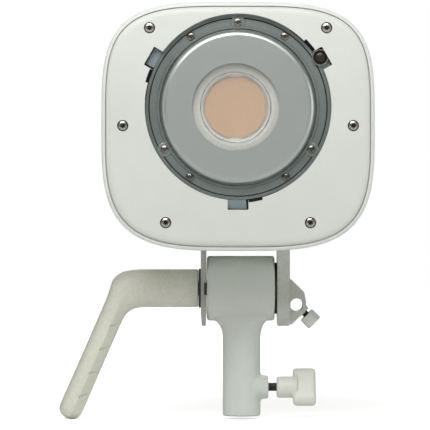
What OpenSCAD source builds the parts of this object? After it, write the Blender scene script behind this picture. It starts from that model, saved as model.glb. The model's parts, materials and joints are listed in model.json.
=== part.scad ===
// Continuous-light monolight: a rounded square head on a yoke, a side tilt handle and a stand receiver.
// The head faces -Y, Z is up, and the origin is the centre of the stand socket's mouth.

/* [Head] */
// Width of the case at its front rim
head_w = 178; // [170:1:190]
// Height of the case at its front rim
head_h = 162; // [156:1:166]
// Height of the case centre above the socket mouth
head_z = 192.6; // [192:0.2:196]
// Sideways place of the head's centre
head_x = -2.9; // [-4:0.1:0]
// Front face of the front plate
front_y = -85; // [-88:1:-84]
// Rear end of the case
rear_y = 93; // [92:1:98]
// Wall thickness of the case
wall = 2.4; // [2:0.1:3]
// Rear size of the case as a fraction of its front size
rear_scale = 0.9; // [0.88:0.01:0.94]

/* [Bayonet] */
// Height of the bayonet ring's centre
ring_z = 205.4; // [204:0.2:206]
// Radius of the round opening in the front plate
mouth_r = 60.8; // [60:0.1:61.5]
// Outer radius of the three lug notches
notch_r = 66.9; // [66:0.1:67.2]
// Width of a lug notch
notch_w = 13.6; // [12.6:0.1:14]
// Depth of the seat below the front plate
seat_d = 6; // [5.5:0.1:6.5]
// Radius of the raised reflector cover
cover_r = 50.2; // [49:0.1:50.4]

/* [Light source] */
// Radius of the opening in the reflector cover
opening_r = 28.4; // [27:0.1:29]
// Sideways offset of the light source from the ring's centre
source_x = -1.5; // [-2:0.1:0]
// Radius of the phosphor disc
phosphor_r = 20.7; // [19:0.1:20.9]

/* [Stand receiver] */
// Height of the tilt axis above the socket mouth
axis_z = 85.8; // [85:0.1:87]
// Outer radius of the receiver tube
tube_r = 12.7; // [12.5:0.1:13]
// Radius of the stand socket's bore, for a 16 mm stud
socket_r = 8.05; // [8:0.05:8.2]
// Depth of the stand socket's bore
socket_len = 45; // [40:1:46]
// Radius of the barrel around the tilt bolt
barrel_r = 21.8; // [21:0.1:22]
// Length of the barrel
barrel_len = 45.4; // [44:0.1:45.4]

/* [Yoke and handle] */
// Half the width of each yoke arm, front to back
arm_half = 17; // [16.6:0.1:18]
// Radius of the tilt handle's round root
handle_r = 12.75; // [12:0.05:13]
// Lean of the handle's lever from upright, in degrees
lever_lean = 23.7; // [22:0.1:25]
// Radius of the umbrella hole, for 8 mm shafts
umbrella_r = 4.3; // [4.1:0.05:4.35]

/* [Hidden] */
$fn = 64;

white = "#e4e7e0";
warm_white = "#d3d3c6";
alloy_grey = "#6e7676";
satin = "#a2aaa3";
black = "#1c1c1e";
steel = "#b9bbb8";
copper = "#b87345";

outline_points = 96;
top_power = 3.8;
bottom_power = 3.5;
seam_z = head_z + 1.7;
shell_front_y = front_y + 1;
shell_len = rear_y - shell_front_y;
plate_t = 3;
plate_inset = 2.7;
panel_t = 3;
panel_y = rear_y - panel_t;
panel_gap = 0.4;
running = 0.05;

knuckle_x = -0.6;
barrel_left = knuckle_x - barrel_len / 2;
barrel_right = knuckle_x + barrel_len / 2;
washer_t = 1.5;
washer_r = 17.3;
face_gap = 0.2;
left_t = 3.7;
left_outer_x = barrel_left - 0.4 - left_t;
right_inner_x = barrel_right + face_gap + washer_t;
right_t = 8.4;
right_outer_x = right_inner_x + right_t;
arm_bottom_z = axis_z - 25.4;
arm_top_z = 120.4;
bolt_r = 5;
base_t = 3.4;

pin_angle = 31.1;
pin_orbit = 62.5;
pin_r = 3.4;
pin_travel = 5;
pin_x = head_x + pin_orbit * cos(pin_angle);
pin_z = ring_z + pin_orbit * sin(pin_angle);

clamp_z = 19.4;
clamp_face_x = 18;
clamp_boss_r = 7.9;
stud_r = 3;
knob_x = 23.5;

umbrella_x = right_outer_x + umbrella_r + 0.3;
umbrella_z = 74.8;
umbrella_half = 11;
umbrella_lean = 45;

fan_z = ring_z - 2;
fan_y = -4;
fan_half = 46;
fan_t = 25;

board_y = panel_y - 8;
dial_x = 43;
dial_z = head_z - 12;
button_pitch = 17;
button_z = head_z - 8;
inlet_x = head_x - 26;
switch_x = head_x + 24;
port_z = head_z - 43;

// Helpers -----------------------------------------------------------------------------------------

// A power curve's signed value, which squares off a circle
function squared(value, power) = sign(value) * pow(abs(value), 2 / power);

// Rounded-square outline, fuller above than below
function rounded_square(w, h) = [
    for (i = [0 : outline_points - 1])
        let (a = 360 * i / outline_points, power = sin(a) >= 0 ? top_power : bottom_power)
        [w / 2 * squared(cos(a), power), h / 2 * squared(sin(a), power)]
];

// Half the case's height at a depth, which falls towards the rear
function half_height(y) =
    head_h / 2 * (1 - (1 - rear_scale) * (y - shell_front_y) / shell_len);

// A slab between two depths, drawn as a flat shape in X and Z
module slab(y0, y1) {
    translate([0, y1, 0]) rotate([90, 0, 0]) linear_extrude(y1 - y0) children();
}

module rod_x(r, x0, x1) {
    translate([x0, 0, 0]) rotate([0, 90, 0]) cylinder(r = r, h = x1 - x0);
}

module rod_y(r, y0, y1) {
    translate([0, y0, 0]) rotate([-90, 0, 0]) cylinder(r = r, h = y1 - y0);
}

module box(x0, x1, y0, y1, z0, z1) {
    translate([x0, y0, z0]) cube([x1 - x0, y1 - y0, z1 - z0]);
}

// A round part turned about the bayonet axis, drawn as radius against depth from the plate's face
module turned() {
    translate([head_x, front_y, ring_z]) rotate([-90, 0, 0]) rotate_extrude($fn = 128) children();
}

module tube_y(inner, outer, y0, y1) {
    difference() {
        rod_y(outer, y0, y1);
        rod_y(inner, y0 - 1, y1 + 1);
    }
}

module at_ring() {
    translate([head_x, 0, ring_z]) children();
}

module at_head() {
    translate([head_x, 0, head_z]) children();
}

// Runs its children at the three lug notches, drawn at the right-hand one
module at_notches() {
    for (a = notch_angles) rotate([0, -a, 0]) children();
}

// Flat sector between two angles and two radii
module sector(r0, r1, a0, a1) {
    steps = 8;
    inner = [for (i = [0 : steps]) let (a = a0 + (a1 - a0) * i / steps) [r0 * cos(a), r0 * sin(a)]];
    outer = [for (i = [0 : steps]) let (a = a1 - (a1 - a0) * i / steps) [r1 * cos(a), r1 * sin(a)]];
    polygon(concat(inner, outer));
}

// Fastener with a domed head, standing on its shank, with a socket; its head points to +Z
module screw(head_r, head_t, shank_r, shank_len) {
    difference() {
        union() {
            cylinder(r = head_r, h = head_t * 0.7);
            translate([0, 0, head_t * 0.7]) cylinder(r1 = head_r, r2 = head_r * 0.8, h = head_t * 0.3);
            translate([0, 0, -shank_len]) cylinder(r = shank_r, h = shank_len + 0.1);
        }
        translate([0, 0, head_t * 0.4]) cylinder(r = head_r * 0.45, h = head_t, $fn = 6);
    }
}

// Case ----------------------------------------------------------------------------------------------

// Solid case form, shrunk by an inset on every side
module case_form(inset, y0, y1) {
    rear_w = head_w * rear_scale - 2 * inset;
    rear_h = head_h * rear_scale - 2 * inset;
    grow_w = (head_w - 2 * inset) / rear_w;
    grow_h = (head_h - 2 * inset) / rear_h;
    at_head() intersection() {
        translate([0, rear_y, 0]) rotate([90, 0, 0])
            linear_extrude(shell_len, scale = [grow_w, grow_h], slices = 1, $fn = 0)
                polygon(rounded_square(rear_w, rear_h));
        box(-head_w, head_w, y0, y1, -head_h, head_h);
    }
}

module case_wall() {
    difference() {
        case_form(0, shell_front_y, rear_y);
        case_form(wall, shell_front_y - 1, rear_y + 1);
    }
}

front_bosses_top = [[-57.6, 64.3], [57.6, 64.3]];
front_bosses_low = [[-75, 0.6], [75, 0.6], [-47.1, -62.5], [47.1, -62.5]];
rear_bosses = [[-58, 50], [58, 50], [-56, -50], [56, -50]];
boss_r = 5;
boss_hole_r = 1.5;

module front_boss(places) {
    for (p = places) at_head() translate([p[0], 0, p[1]])
        tube_y(boss_hole_r, boss_r, front_y + plate_t + 0.1, front_y + plate_t + 18);
}

module rear_boss(places) {
    for (p = places) at_head() translate([p[0], 0, p[1]])
        tube_y(boss_hole_r, boss_r - 0.5, panel_y - 14, panel_y - 0.1);
}

// Ribs that tie each boss to the case wall
module boss_ribs(places, y0, y1) {
    intersection() {
        case_form(wall * 0.6, y0, y1);
        for (p = places) at_head() translate([p[0], 0, p[1]]) difference() {
            rotate([0, -atan2(p[1], p[0]), 0]) box(boss_r - 1.5, 30, y0, y1, -1, 1);
            rod_y(boss_hole_r, y0 - 1, y1 + 1);
        }
    }
}

vent_count = 13;
vent_pitch = 8;
vent_w = 3.2;
vent_start_y = -34;

// Side vents: a row of upright slots through both flanks
module vents(z0, z1) {
    for (i = [0 : vent_count - 1]) at_head()
        box(-head_w, head_w, vent_start_y + i * vent_pitch, vent_start_y + i * vent_pitch + vent_w, z0, z1);
}

slider_half = 4.5;
slider_y = -56;
slider_len = 12;

stop_rib_y = slider_y + slider_len + pin_travel + 1.5;

// Stop on the flank's wall that the lock pin's spring presses against
module spring_stop() {
    intersection() {
        case_form(wall * 0.6, stop_rib_y, stop_rib_y + 3.5);
        box(pin_x, head_x + head_w, stop_rib_y, stop_rib_y + 3.5, pin_z - 1.5, pin_z + 1.5);
    }
    translate([pin_x, 0, pin_z]) rod_y(bezel_r, spring_y + spring_len + 0.1, stop_rib_y + 3.5);
}

module upper_shell() color(white) {
    difference() {
        intersection() {
            case_wall();
            box(-head_w, head_w, shell_front_y - 1, rear_y + 1, seam_z, seam_z + head_h);
        }
        vents(14, 44);
        box(head_x + 60, head_x + head_w, slider_y - 1, slider_y + slider_len + pin_travel + 1.5,
            pin_z - slider_half, pin_z + slider_half);
    }
    front_boss(front_bosses_top);
    boss_ribs(front_bosses_top, front_y + plate_t + 3, front_y + plate_t + 18);
    rear_boss([rear_bosses[0], rear_bosses[1]]);
    boss_ribs([rear_bosses[0], rear_bosses[1]], panel_y - 14, panel_y - 1);
    spring_stop();
}

post_x = 47;
post_ys = [-38, 62];
power_z = 131;

module lower_shell() color(white) {
    difference() {
        intersection() {
            case_wall();
            box(-head_w, head_w, shell_front_y - 1, rear_y + 1, seam_z - head_h, seam_z);
        }
        vents(-42, -12);
        for (x = [[left_outer_x, left_outer_x + left_t], [right_inner_x, right_outer_x]])
            box(x[0] - 0.3, x[1] + 0.3, -arm_half - 0.3, arm_half + 0.3, arm_top_z - 20, arm_top_z);
    }
    front_boss(front_bosses_low);
    boss_ribs(front_bosses_low, front_y + plate_t + 3, front_y + plate_t + 18);
    rear_boss([rear_bosses[2], rear_bosses[3]]);
    boss_ribs([rear_bosses[2], rear_bosses[3]], panel_y - 14, panel_y - 1);
    for (x = [-post_x, post_x], y = post_ys)
        translate([head_x + x, y, head_z - half_height(y) + wall * 0.6 + 2.5])
            cylinder(r = 3.5, h = power_z - (head_z - half_height(y) + wall * 0.6 + 2.5));
}

front_screw_places = concat(front_bosses_top, front_bosses_low);
front_head_r = 3.55;

module front_plate() color(white) {
    difference() {
        at_head() slab(front_y, front_y + plate_t)
            polygon(rounded_square(head_w - 2 * plate_inset, head_h - 2 * plate_inset));
        at_ring() rod_y(mouth_r, front_y - 1, front_y + plate_t + 1);
        at_ring() at_notches() box(0, notch_r, front_y - 1, front_y + plate_t + 1, -notch_w / 2, notch_w / 2);
        for (a = [36.5, 156.5, 276.5]) at_ring() slab(front_y - 1, front_y + plate_t + 1)
            sector(mouth_r - 1, mouth_r + 1.7, a, a + 8.5);
        for (p = front_screw_places) at_head() translate([p[0], 0, p[1]]) {
            rod_y(front_head_r + 0.2, front_y - 1, front_y + 1.8);
            rod_y(boss_hole_r + 0.1, front_y, front_y + plate_t + 1);
        }
    }
}

module front_screws() color(steel) {
    for (p = front_screw_places) at_head() translate([p[0], front_y + 1.8, p[1]])
        rotate([90, 0, 0]) screw(front_head_r, 1.8, boss_hole_r, 12);
}

// Bayonet -------------------------------------------------------------------------------------------

notch_angles = [30, 150, 270];
pad_angles = [90, 210, 330];
plain_angles = [56.5, 123.7, 235.7, 304.5];
ring_screw_r = 55.3;
ring_head_r = 2.7;
seat_y = front_y + seat_d;
ring_back_y = seat_y + 4;
ring_outer_r = 69.5;
cover_seat_r = 50.5;
bush_r = 4.5;
pad_r = 4.6;
bezel_r = 5.5;
// Turn of a lug behind the plate, from its notch to its stop
channel_sweep = 26;
// Flat along the ring's top, which clears the case wall
ring_trim_z = head_h / 2 - 4.4;

module bayonet_ring() color(alloy_grey) {
    rim_r = 52;
    step_r = 58.6;
    step_d = 5.2;
    lip_r = mouth_r - 0.4;
    difference() {
        union() {
            difference() {
                turned() polygon([[cover_seat_r, 4.6], [rim_r, 4.6], [rim_r, seat_d], [step_r, seat_d],
                    [step_r, step_d], [lip_r, step_d], [lip_r, plate_t + 0.1], [ring_outer_r, plate_t + 0.1],
                    [ring_outer_r, seat_d + 4], [cover_seat_r, seat_d + 4]]);
                for (a = notch_angles) at_ring() slab(front_y + plate_t - 1, seat_y)
                    sector(lip_r - 0.2, notch_r + 0.5, a - 7, a + channel_sweep);
            }
            for (a = pad_angles) at_ring() rotate([0, -a, 0]) translate([ring_screw_r, 0, 0])
                rod_y(pad_r, front_y + 5, seat_y + 0.1);
            translate([pin_x, 0, pin_z]) rod_y(bezel_r, front_y + 3.4, seat_y + 0.1);
        }
        at_head() box(-ring_outer_r, ring_outer_r, front_y, ring_back_y + 1, ring_trim_z, head_h);
        for (a = concat(pad_angles, plain_angles)) at_ring() rotate([0, -a, 0])
            translate([ring_screw_r, 0, 0]) rod_y(1.3, front_y, ring_back_y + 1);
        for (a = plain_angles) at_ring() rotate([0, -a, 0])
            translate([ring_screw_r, 0, 0]) rod_y(ring_head_r + 0.3, front_y, seat_y + 1);
        translate([pin_x, 0, pin_z]) rod_y(bush_r, front_y, ring_back_y + 1);
    }
}

module bayonet_screws() color("#3c3e40") {
    for (a = pad_angles) at_ring() rotate([0, -a, 0]) translate([ring_screw_r, front_y + 5, 0])
        rotate([90, 0, 0]) screw(ring_head_r, 1.5, 1.3, 7.5);
    for (a = plain_angles) at_ring() rotate([0, -a, 0]) translate([ring_screw_r, seat_y + 1, 0])
        rotate([90, 0, 0]) screw(ring_head_r, 1.5, 1.3, 5.5);
}

bush_back_y = ring_back_y + 6;

// Lock pin's guide, pressed into the ring from the back
module pin_bush() color(black) {
    translate([pin_x, 0, pin_z]) {
        tube_y(pin_r + running, bush_r, front_y + 3.2, bush_back_y);
        tube_y(bush_r, 6, ring_back_y + 3.2, bush_back_y);
    }
}

pin_collar_y = bush_back_y + pin_travel + 3;
spring_r = 4.2;
spring_wire_r = 0.5;
spring_turns = 5;
spring_len = 14;
spring_y = pin_collar_y + 2;
ring_steps = 12;
wire_sides = 6;

// Points round the wire at one station of the spring
function spring_ring(i) = let (
        a = 360 * i / ring_steps,
        y = spring_wire_r + (spring_len - 2 * spring_wire_r) * i / (spring_turns * ring_steps))
    [for (k = [0 : wire_sides - 1]) let (b = 360 * k / wire_sides, r = spring_r + spring_wire_r * cos(b))
        [r * cos(a), r * sin(a), y + spring_wire_r * sin(b)]];

module pin_spring() color(steel) {
    count = spring_turns * ring_steps;
    points = [for (i = [0 : count]) each spring_ring(i)];
    sides = [for (i = [0 : count - 1], k = [0 : wire_sides - 1])
        let (n = (k + 1) % wire_sides, p = i * wire_sides, q = p + wire_sides)
        [p + k, q + k, q + n, p + n]];
    caps = [[for (k = [0 : wire_sides - 1]) k],
        [for (k = [wire_sides - 1 : -1 : 0]) count * wire_sides + k]];
    translate([pin_x, spring_y, pin_z]) rotate([-90, 0, 0]) polyhedron(points, concat(sides, caps));
}

module lock_pin() color("#4a4d4c") {
    translate([pin_x, 0, pin_z]) {
        rod_y(pin_r, front_y + 1, spring_y + 8);
        rod_y(5.4, pin_collar_y, spring_y - 0.2);
    }
}

// Thumb slide on the flank, whose arm pulls the pin back
module release_slider() color(black) {
    arm_t = 2.5;
    bar_x = head_x + 79.8;
    arm_y = pin_collar_y - arm_t - 0.2;
    difference() {
        union() {
            box(pin_x, bar_x, arm_y, arm_y + arm_t, pin_z - 3, pin_z + 3);
            translate([pin_x, 0, pin_z]) rod_y(5.4, arm_y, arm_y + arm_t);
        }
        translate([pin_x, 0, pin_z]) rod_y(pin_r, arm_y - 1, arm_y + arm_t + 1);
    }
    box(bar_x - 3, bar_x, arm_y, slider_y + slider_len, pin_z - 3, pin_z + 3);
    box(bar_x - 1, head_x + 86.2, slider_y, slider_y + slider_len, pin_z - 3.5, pin_z + 3.5);
}

// Light source --------------------------------------------------------------------------------------

cover_top = -2.5;
sheet_t = 1.6;
shoulder_r = 4;

module reflector_cover() color(satin) {
    difference() {
        turned() polygon(concat(
            [for (i = [0 : 6]) let (a = 15 * i)
                [cover_r - shoulder_r + shoulder_r * cos(a), cover_top + shoulder_r - shoulder_r * sin(a)]],
            [[0, cover_top], [0, cover_top + sheet_t], [cover_r - shoulder_r, cover_top + sheet_t],
                [cover_r - sheet_t, cover_top + shoulder_r], [cover_r - sheet_t, ring_back_y - front_y],
                [cover_r, ring_back_y - front_y]]));
        at_ring() translate([source_x, 0, 0]) rod_y(opening_r, front_y - 10, front_y + 5);
    }
}

module window_glass() color("#dfe9ea", 0.35) {
    at_ring() translate([source_x, 0, 0])
        rod_y(opening_r + 3, front_y + cover_top + sheet_t + 0.1, front_y + 1);
}

module window_seal() color(black) {
    translate([head_x + source_x, front_y + 1.7, ring_z]) rotate([-90, 0, 0])
        rotate_extrude($fn = 96) translate([opening_r + 1.5, 0]) circle(r = 0.7, $fn = 24);
}

source_y = front_y + 10;

module source_ring() color("#d9dcd4") {
    translate([head_x + source_x, front_y, ring_z]) rotate([-90, 0, 0]) rotate_extrude($fn = 96)
        polygon([[phosphor_r + 0.9, 9.8], [phosphor_r + 0.9, 5.4], [phosphor_r + 2, 4.2], [24.6, 4.2],
            [24.6, 3], [opening_r + 3, 3], [opening_r + 3, 9.8]]);
}

module source_board() color("#c8ccc6") {
    translate([head_x + source_x, 0, ring_z]) difference() {
        box(-28, 28, source_y, source_y + 2.9, -28, 28);
        for (x = [-24, 24], z = [-24, 24]) translate([x, 0, z]) rod_y(1.6, source_y - 1, source_y + 4);
    }
}

module phosphor() color("#e0b98e") {
    translate([head_x + source_x, 0, ring_z]) rotate([0, 15, 0]) {
        translate([0, source_y - 1.2, 0]) rotate([-90, 0, 0]) cylinder(r = phosphor_r, h = 1.2, $fn = 12);
    }
}

frame_t = 3;

module front_frame() color("#8f9594") {
    difference() {
        at_head() slab(ring_back_y + 0.1, ring_back_y + frame_t)
            polygon(rounded_square(head_w - 30, head_h - 22));
        at_ring() rod_y(44, ring_back_y - 1, ring_back_y + frame_t + 1);
        for (p = front_screw_places) at_head() translate([p[0], 0, p[1]])
            rod_y(boss_r + 0.4, ring_back_y - 1, ring_back_y + frame_t + 1);
        for (a = concat(pad_angles, plain_angles)) at_ring() rotate([0, -a, 0])
            translate([ring_screw_r, 0, 0]) rod_y(1.4, ring_back_y - 1, ring_back_y + frame_t + 1);
        translate([pin_x, 0, pin_z]) rod_y(6.4, ring_back_y - 1, ring_back_y + frame_t + 1);
    }
}

spreader_y = ring_back_y + frame_t + 0.1;
spreader_t = 4;
sink_half = 45;

module heat_spreader() color(copper) {
    at_ring() box(-sink_half, sink_half, spreader_y, spreader_y + spreader_t, -sink_half, sink_half);
}

pipe_r = 2.5;
pipe_zs = [-27, -9, 9, 27];
sink_y = spreader_y + spreader_t + 0.1;
sink_base_t = 8;
fin_count = 18;
fin_t = 1.2;

module heat_pipes() color(copper) {
    at_ring() for (z = pipe_zs) translate([0, sink_y + sink_base_t / 2, z])
        rod_x(pipe_r, -sink_half + 1, sink_half - 1);
}

module heatsink() color("#9ea3a3") {
    at_ring() {
        difference() {
            box(-sink_half, sink_half, sink_y, sink_y + sink_base_t, -sink_half, sink_half);
            for (z = pipe_zs) translate([0, sink_y + sink_base_t / 2, z])
                rod_x(pipe_r, -sink_half - 1, sink_half + 1);
        }
        for (i = [0 : fin_count - 1]) let (x = -sink_half + (2 * sink_half - fin_t) * i / (fin_count - 1))
            box(x, x + fin_t, sink_y + sink_base_t - 0.1, fan_y - 1, -sink_half, sink_half);
    }
}

// Fan -----------------------------------------------------------------------------------------------

hub_r = 19;
blade_count = 9;
blade_pitch = 38;
blade_len = 23;
blade_chord = 18;
blade_t = 1.2;

module at_fan() {
    translate([head_x, fan_y, fan_z]) children();
}

module fan_frame() color(black) {
    at_fan() difference() {
        box(-fan_half, fan_half, 0, fan_t, -fan_half, fan_half);
        rod_y(fan_half - 2, -1, fan_t - 3);
        difference() {
            rod_y(fan_half - 2, fan_t - 4, fan_t + 1);
            rod_y(hub_r, fan_t - 5, fan_t + 2);
            for (a = [45, 135]) rotate([0, a, 0]) box(-fan_half, fan_half, fan_t - 5, fan_t + 2, -2.5, 2.5);
        }
        rod_y(4, fan_t - 5, fan_t + 1);
        for (x = [-41, 41], z = [-41, 41]) translate([x, 0, z]) rod_y(2.1, -1, fan_t + 1);
    }
}

module fan_bearing() color("#b08d4a") {
    at_fan() tube_y(1.5 + running, 4, fan_t - 6, fan_t);
}

module fan_rotor() color("#26272a") {
    at_fan() {
        difference() {
            rod_y(hub_r - 0.5, 1.5, fan_t - 4);
            rod_y(hub_r - 2.5, 3.5, fan_t - 3);
        }
        rod_y(1.5, 2, fan_t - 1);
        for (i = [0 : blade_count - 1]) rotate([0, 360 * i / blade_count, 0])
            translate([hub_r - 1, fan_t / 2 - 1.5, 0]) rotate([blade_pitch, 0, 0])
                box(0, blade_len, -blade_t / 2, blade_t / 2, -blade_chord / 2, blade_chord / 2);
    }
}

// Electronics ---------------------------------------------------------------------------------------

module power_board() color("#2f6b45") {
    difference() {
        box(head_x - 52, head_x + 52, -48, 72, power_z, power_z + 1.6);
        for (x = [-post_x, post_x], y = post_ys)
            translate([head_x + x, y, power_z - 1]) cylinder(r = 1.6, h = 4);
    }
}

part_z = power_z + 1.7;

module power_parts() color("#3a3d44") {
    box(head_x - 44, head_x - 14, -30, 6, part_z, part_z + 22);
    box(head_x - 4, head_x + 24, 24, 50, part_z, part_z + 20);
    for (x = [4, 20, 36]) translate([head_x + x, -24, part_z]) cylinder(r = 7, h = 20);
    for (x = [-40, -24]) translate([head_x + x, 48, part_z]) cylinder(r = 6, h = 18);
    translate([head_x + 36, 4, part_z]) difference() {
        cylinder(r = 10, h = 8);
        translate([0, 0, -1]) cylinder(r = 4.5, h = 10);
    }
}

module control_board() color("#2f6b45") {
    difference() {
        at_head() box(-56, 56, board_y, board_y + 1.6, -26, 52);
        for (x = [-dial_x, dial_x]) translate([head_x + x, 0, dial_z]) rod_y(4, board_y - 1, board_y + 3);
        for (p = [rear_bosses[0], rear_bosses[1]]) at_head() translate([p[0], 0, p[1]])
            rod_y(boss_r + 0.5, board_y - 1, board_y + 3);
    }
}

module control_switches() color("#30343a") {
    for (x = [-dial_x, dial_x]) translate([head_x + x, 0, dial_z]) difference() {
        box(-6.5, 6.5, board_y + 1.7, board_y + 7.4, -6.5, 6.5);
        rod_y(3 + running, board_y + 1, board_y + 8);
    }
    for (i = [-1, 0, 1]) translate([head_x + i * button_pitch, 0, button_z])
        box(-3, 3, board_y + 1.7, board_y + 4, -3, 3);
}

// Rear controls -------------------------------------------------------------------------------------

display_half_w = 33;
display_half_h = 17;
display_z = head_z + 32;

module rear_panel() color("#2b2d2f") {
    inset = wall + panel_gap;
    difference() {
        at_head() slab(panel_y, rear_y)
            polygon(rounded_square(head_w * rear_scale - 2 * inset, head_h * rear_scale - 2 * inset));
        box(head_x - display_half_w, head_x + display_half_w, rear_y - 1.5, rear_y + 1,
            display_z - display_half_h, display_z + display_half_h);
        for (x = [-dial_x, dial_x]) translate([head_x + x, 0, dial_z]) rod_y(4, panel_y - 1, rear_y + 1);
        for (i = [-1, 0, 1]) translate([head_x + i * button_pitch, 0, button_z])
            rod_y(4.8, panel_y - 1, rear_y + 1);
        for (p = rear_bosses) at_head() translate([p[0], 0, p[1]]) {
            rod_y(2.9, rear_y - 1.6, rear_y + 1);
            rod_y(boss_hole_r + 0.1, panel_y - 1, rear_y + 1);
        }
        box(inlet_x - 14, inlet_x + 14, panel_y - 1, rear_y + 1, port_z - 10.2, port_z + 10.2);
        box(switch_x - 7.5, switch_x + 7.5, panel_y - 1, rear_y + 1, port_z - 11, port_z + 11);
    }
}

module rear_screws() color("#3c3e40") {
    for (p = rear_bosses) at_head() translate([p[0], rear_y - 1.6, p[1]])
        rotate([-90, 0, 0]) screw(2.7, 1.6, boss_hole_r, 10);
}

module display_window() color("#0d0f12") {
    box(head_x - display_half_w + 0.2, head_x + display_half_w - 0.2, rear_y - 1.4, rear_y + 0.3,
        display_z - display_half_h + 0.2, display_z + display_half_h - 0.2);
}

inlet_back_y = panel_y - 14;

module inlet_body() color(black) {
    difference() {
        union() {
            translate([inlet_x, 0, port_z]) box(-13.8, 13.8, inlet_back_y, rear_y, -10, 10);
            translate([inlet_x, 0, port_z]) box(-15.5, 15.5, rear_y + 0.1, rear_y + 1.6, -12, 12);
            translate([inlet_x, 0, port_z]) box(-13.8, 13.8, rear_y - 0.1, rear_y + 1.6, -10, 10);
        }
        translate([inlet_x, 0, port_z]) box(-12.2, 12.2, inlet_back_y + 2, rear_y + 2, -8.4, 8.4);
    }
}

module inlet_pins() color(steel) {
    for (p = [[-7, -2], [0, 2], [7, -2]]) translate([inlet_x + p[0], 0, port_z + p[1]])
        box(-1, 1, inlet_back_y + 2, rear_y - 6, -2, 2);
}

rocker_y = rear_y - 3;

module switch_frame() color(black) {
    translate([switch_x, 0, port_z]) difference() {
        union() {
            box(-7.3, 7.3, rear_y - 12, rear_y + 0.1, -10.8, 10.8);
            box(-8.6, 8.6, rear_y + 0.1, rear_y + 1.4, -12, 12);
        }
        box(-6.1, 6.1, rear_y - 10, rear_y + 2, -9.8, 9.8);
    }
}

// Rocker key, stored tipped one way about its side-to-side pin
module power_rocker() color("#3a1515") {
    translate([switch_x, rocker_y, port_z]) {
        translate([-5.6, 0, 0]) rotate([7, 0, 0]) rotate([90, 0, 90])
            linear_extrude(11.2) polygon([[-4, -8], [3.4, -8.6], [5.4, 0], [3.4, 8.6], [-4, 8]]);
        rod_x(1.5, -6, 6);
    }
}

shaft_base_y = board_y + 3;

module dial_shaft(side) {
    translate([head_x + side * dial_x, 0, dial_z]) rod_y(3, shaft_base_y, rear_y + 12);
}

module dial_knob(side) {
    translate([head_x + side * dial_x, 0, dial_z]) difference() {
        union() {
            rod_y(12.5, rear_y + 1.8, rear_y + 12.6);
            rod_y(13.2, rear_y + 1.8, rear_y + 4);
            rod_y(11.5, rear_y + 12.5, rear_y + 14);
            for (a = [0 : 15 : 345]) rotate([0, a, 0])
                translate([12.5, 0, 0]) rod_y(0.6, rear_y + 3, rear_y + 12);
        }
        rod_y(3 + running, rear_y, rear_y + 12.1);
    }
}

module dial_left_shaft() color(steel) dial_shaft(-1);
module dial_left_knob() color(black) dial_knob(-1);
module dial_right_shaft() color(steel) dial_shaft(1);
module dial_right_knob() color(black) dial_knob(1);

module rear_button(place) {
    translate([head_x + place * button_pitch, 0, button_z]) {
        rod_y(4.4, panel_y - 1.2, rear_y + 1.8);
        rod_y(5.4, panel_y - 2.2, panel_y - 1);
        rod_y(1.5, panel_y - 2.8, panel_y - 2);
    }
}

module button_left() color("#43464a") rear_button(-1);
module button_middle() color("#43464a") rear_button(0);
module button_right() color("#43464a") rear_button(1);

// Yoke ----------------------------------------------------------------------------------------------

// Upright plate with a round lower end, between two sideways places
module arm_plate(x0, x1) {
    translate([0, 0, arm_bottom_z + arm_half]) rod_x(arm_half, x0, x1);
    box(x0, x1, -arm_half, arm_half, arm_bottom_z + arm_half, arm_top_z);
}

foot_t = 3.4;
foot_len = 16;

module yoke_plate_left() color(white) {
    difference() {
        union() {
            arm_plate(left_outer_x, left_outer_x + left_t);
            box(left_outer_x, left_outer_x + foot_len, -arm_half, arm_half,
                arm_top_z - 0.1, arm_top_z + foot_t);
        }
        translate([0, 0, axis_z]) rod_x(bolt_r + running, left_outer_x - 1, left_outer_x + left_t + 1);
        translate([0, 0, axis_z])
            rod_x(washer_r + 0.2, left_outer_x + left_t - washer_t, left_outer_x + left_t + 1);
        for (y = [-10, 10])
            translate([left_outer_x + 10, y, arm_top_z - 1]) cylinder(r = 2.1, h = foot_t + 3);
    }
}

nut_half = 8.5;
nut_t = 6;

// Hexagon along X, sized from its middle to a flat
module hexagon(half, len) {
    rotate([0, 90, 0]) cylinder(r = half / cos(30), h = len, $fn = 6);
}

nut_x = right_inner_x + 0.4;
boss_points = [[-1, 92], [1.2, 92], [9.8, 83.2], [11.2, 76.5], [10.6, 70], [6.5, 66.5],
    [1.4, 61.6], [-1, 61.6]];

module yoke_arm_right() color(white) {
    difference() {
        union() {
            arm_plate(right_inner_x, right_outer_x);
            box(right_outer_x - foot_len - right_t, right_outer_x, -arm_half, arm_half,
                arm_top_z - 0.1, arm_top_z + foot_t);
            slab(-umbrella_half, umbrella_half)
                polygon([for (p = boss_points) [right_outer_x + p[0], p[1]]]);
            on_umbrella_axis() cylinder(r = 4.2, h = 7.7);
        }
        translate([0, 0, axis_z]) {
            rod_x(bolt_r + running, right_inner_x - 1, right_outer_x - 1);
            rotate([30, 0, 0]) translate([right_inner_x - 0.1, 0, 0]) hexagon(nut_half + 0.1, nut_t + 0.6);
        }
        translate([umbrella_x, 0, umbrella_z]) rod_y(umbrella_r, -umbrella_half - 1, umbrella_half + 1);
        on_umbrella_axis() cylinder(r = 2.5 + running, h = 12);
        for (y = [-10, 10])
            translate([right_outer_x - 16, y, arm_top_z - 1]) cylinder(r = 2.1, h = foot_t + 3);
    }
}

module yoke_base() color("#8f9594") {
    base_z = arm_top_z + foot_t + 0.1;
    difference() {
        box(left_outer_x, right_outer_x, -26, 26, base_z, base_z + base_t);
        for (x = [left_outer_x + 10, right_outer_x - 16], y = [-10, 10])
            translate([x, y, base_z - 1]) cylinder(r = 2.1, h = base_t + 2);
    }
}

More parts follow.
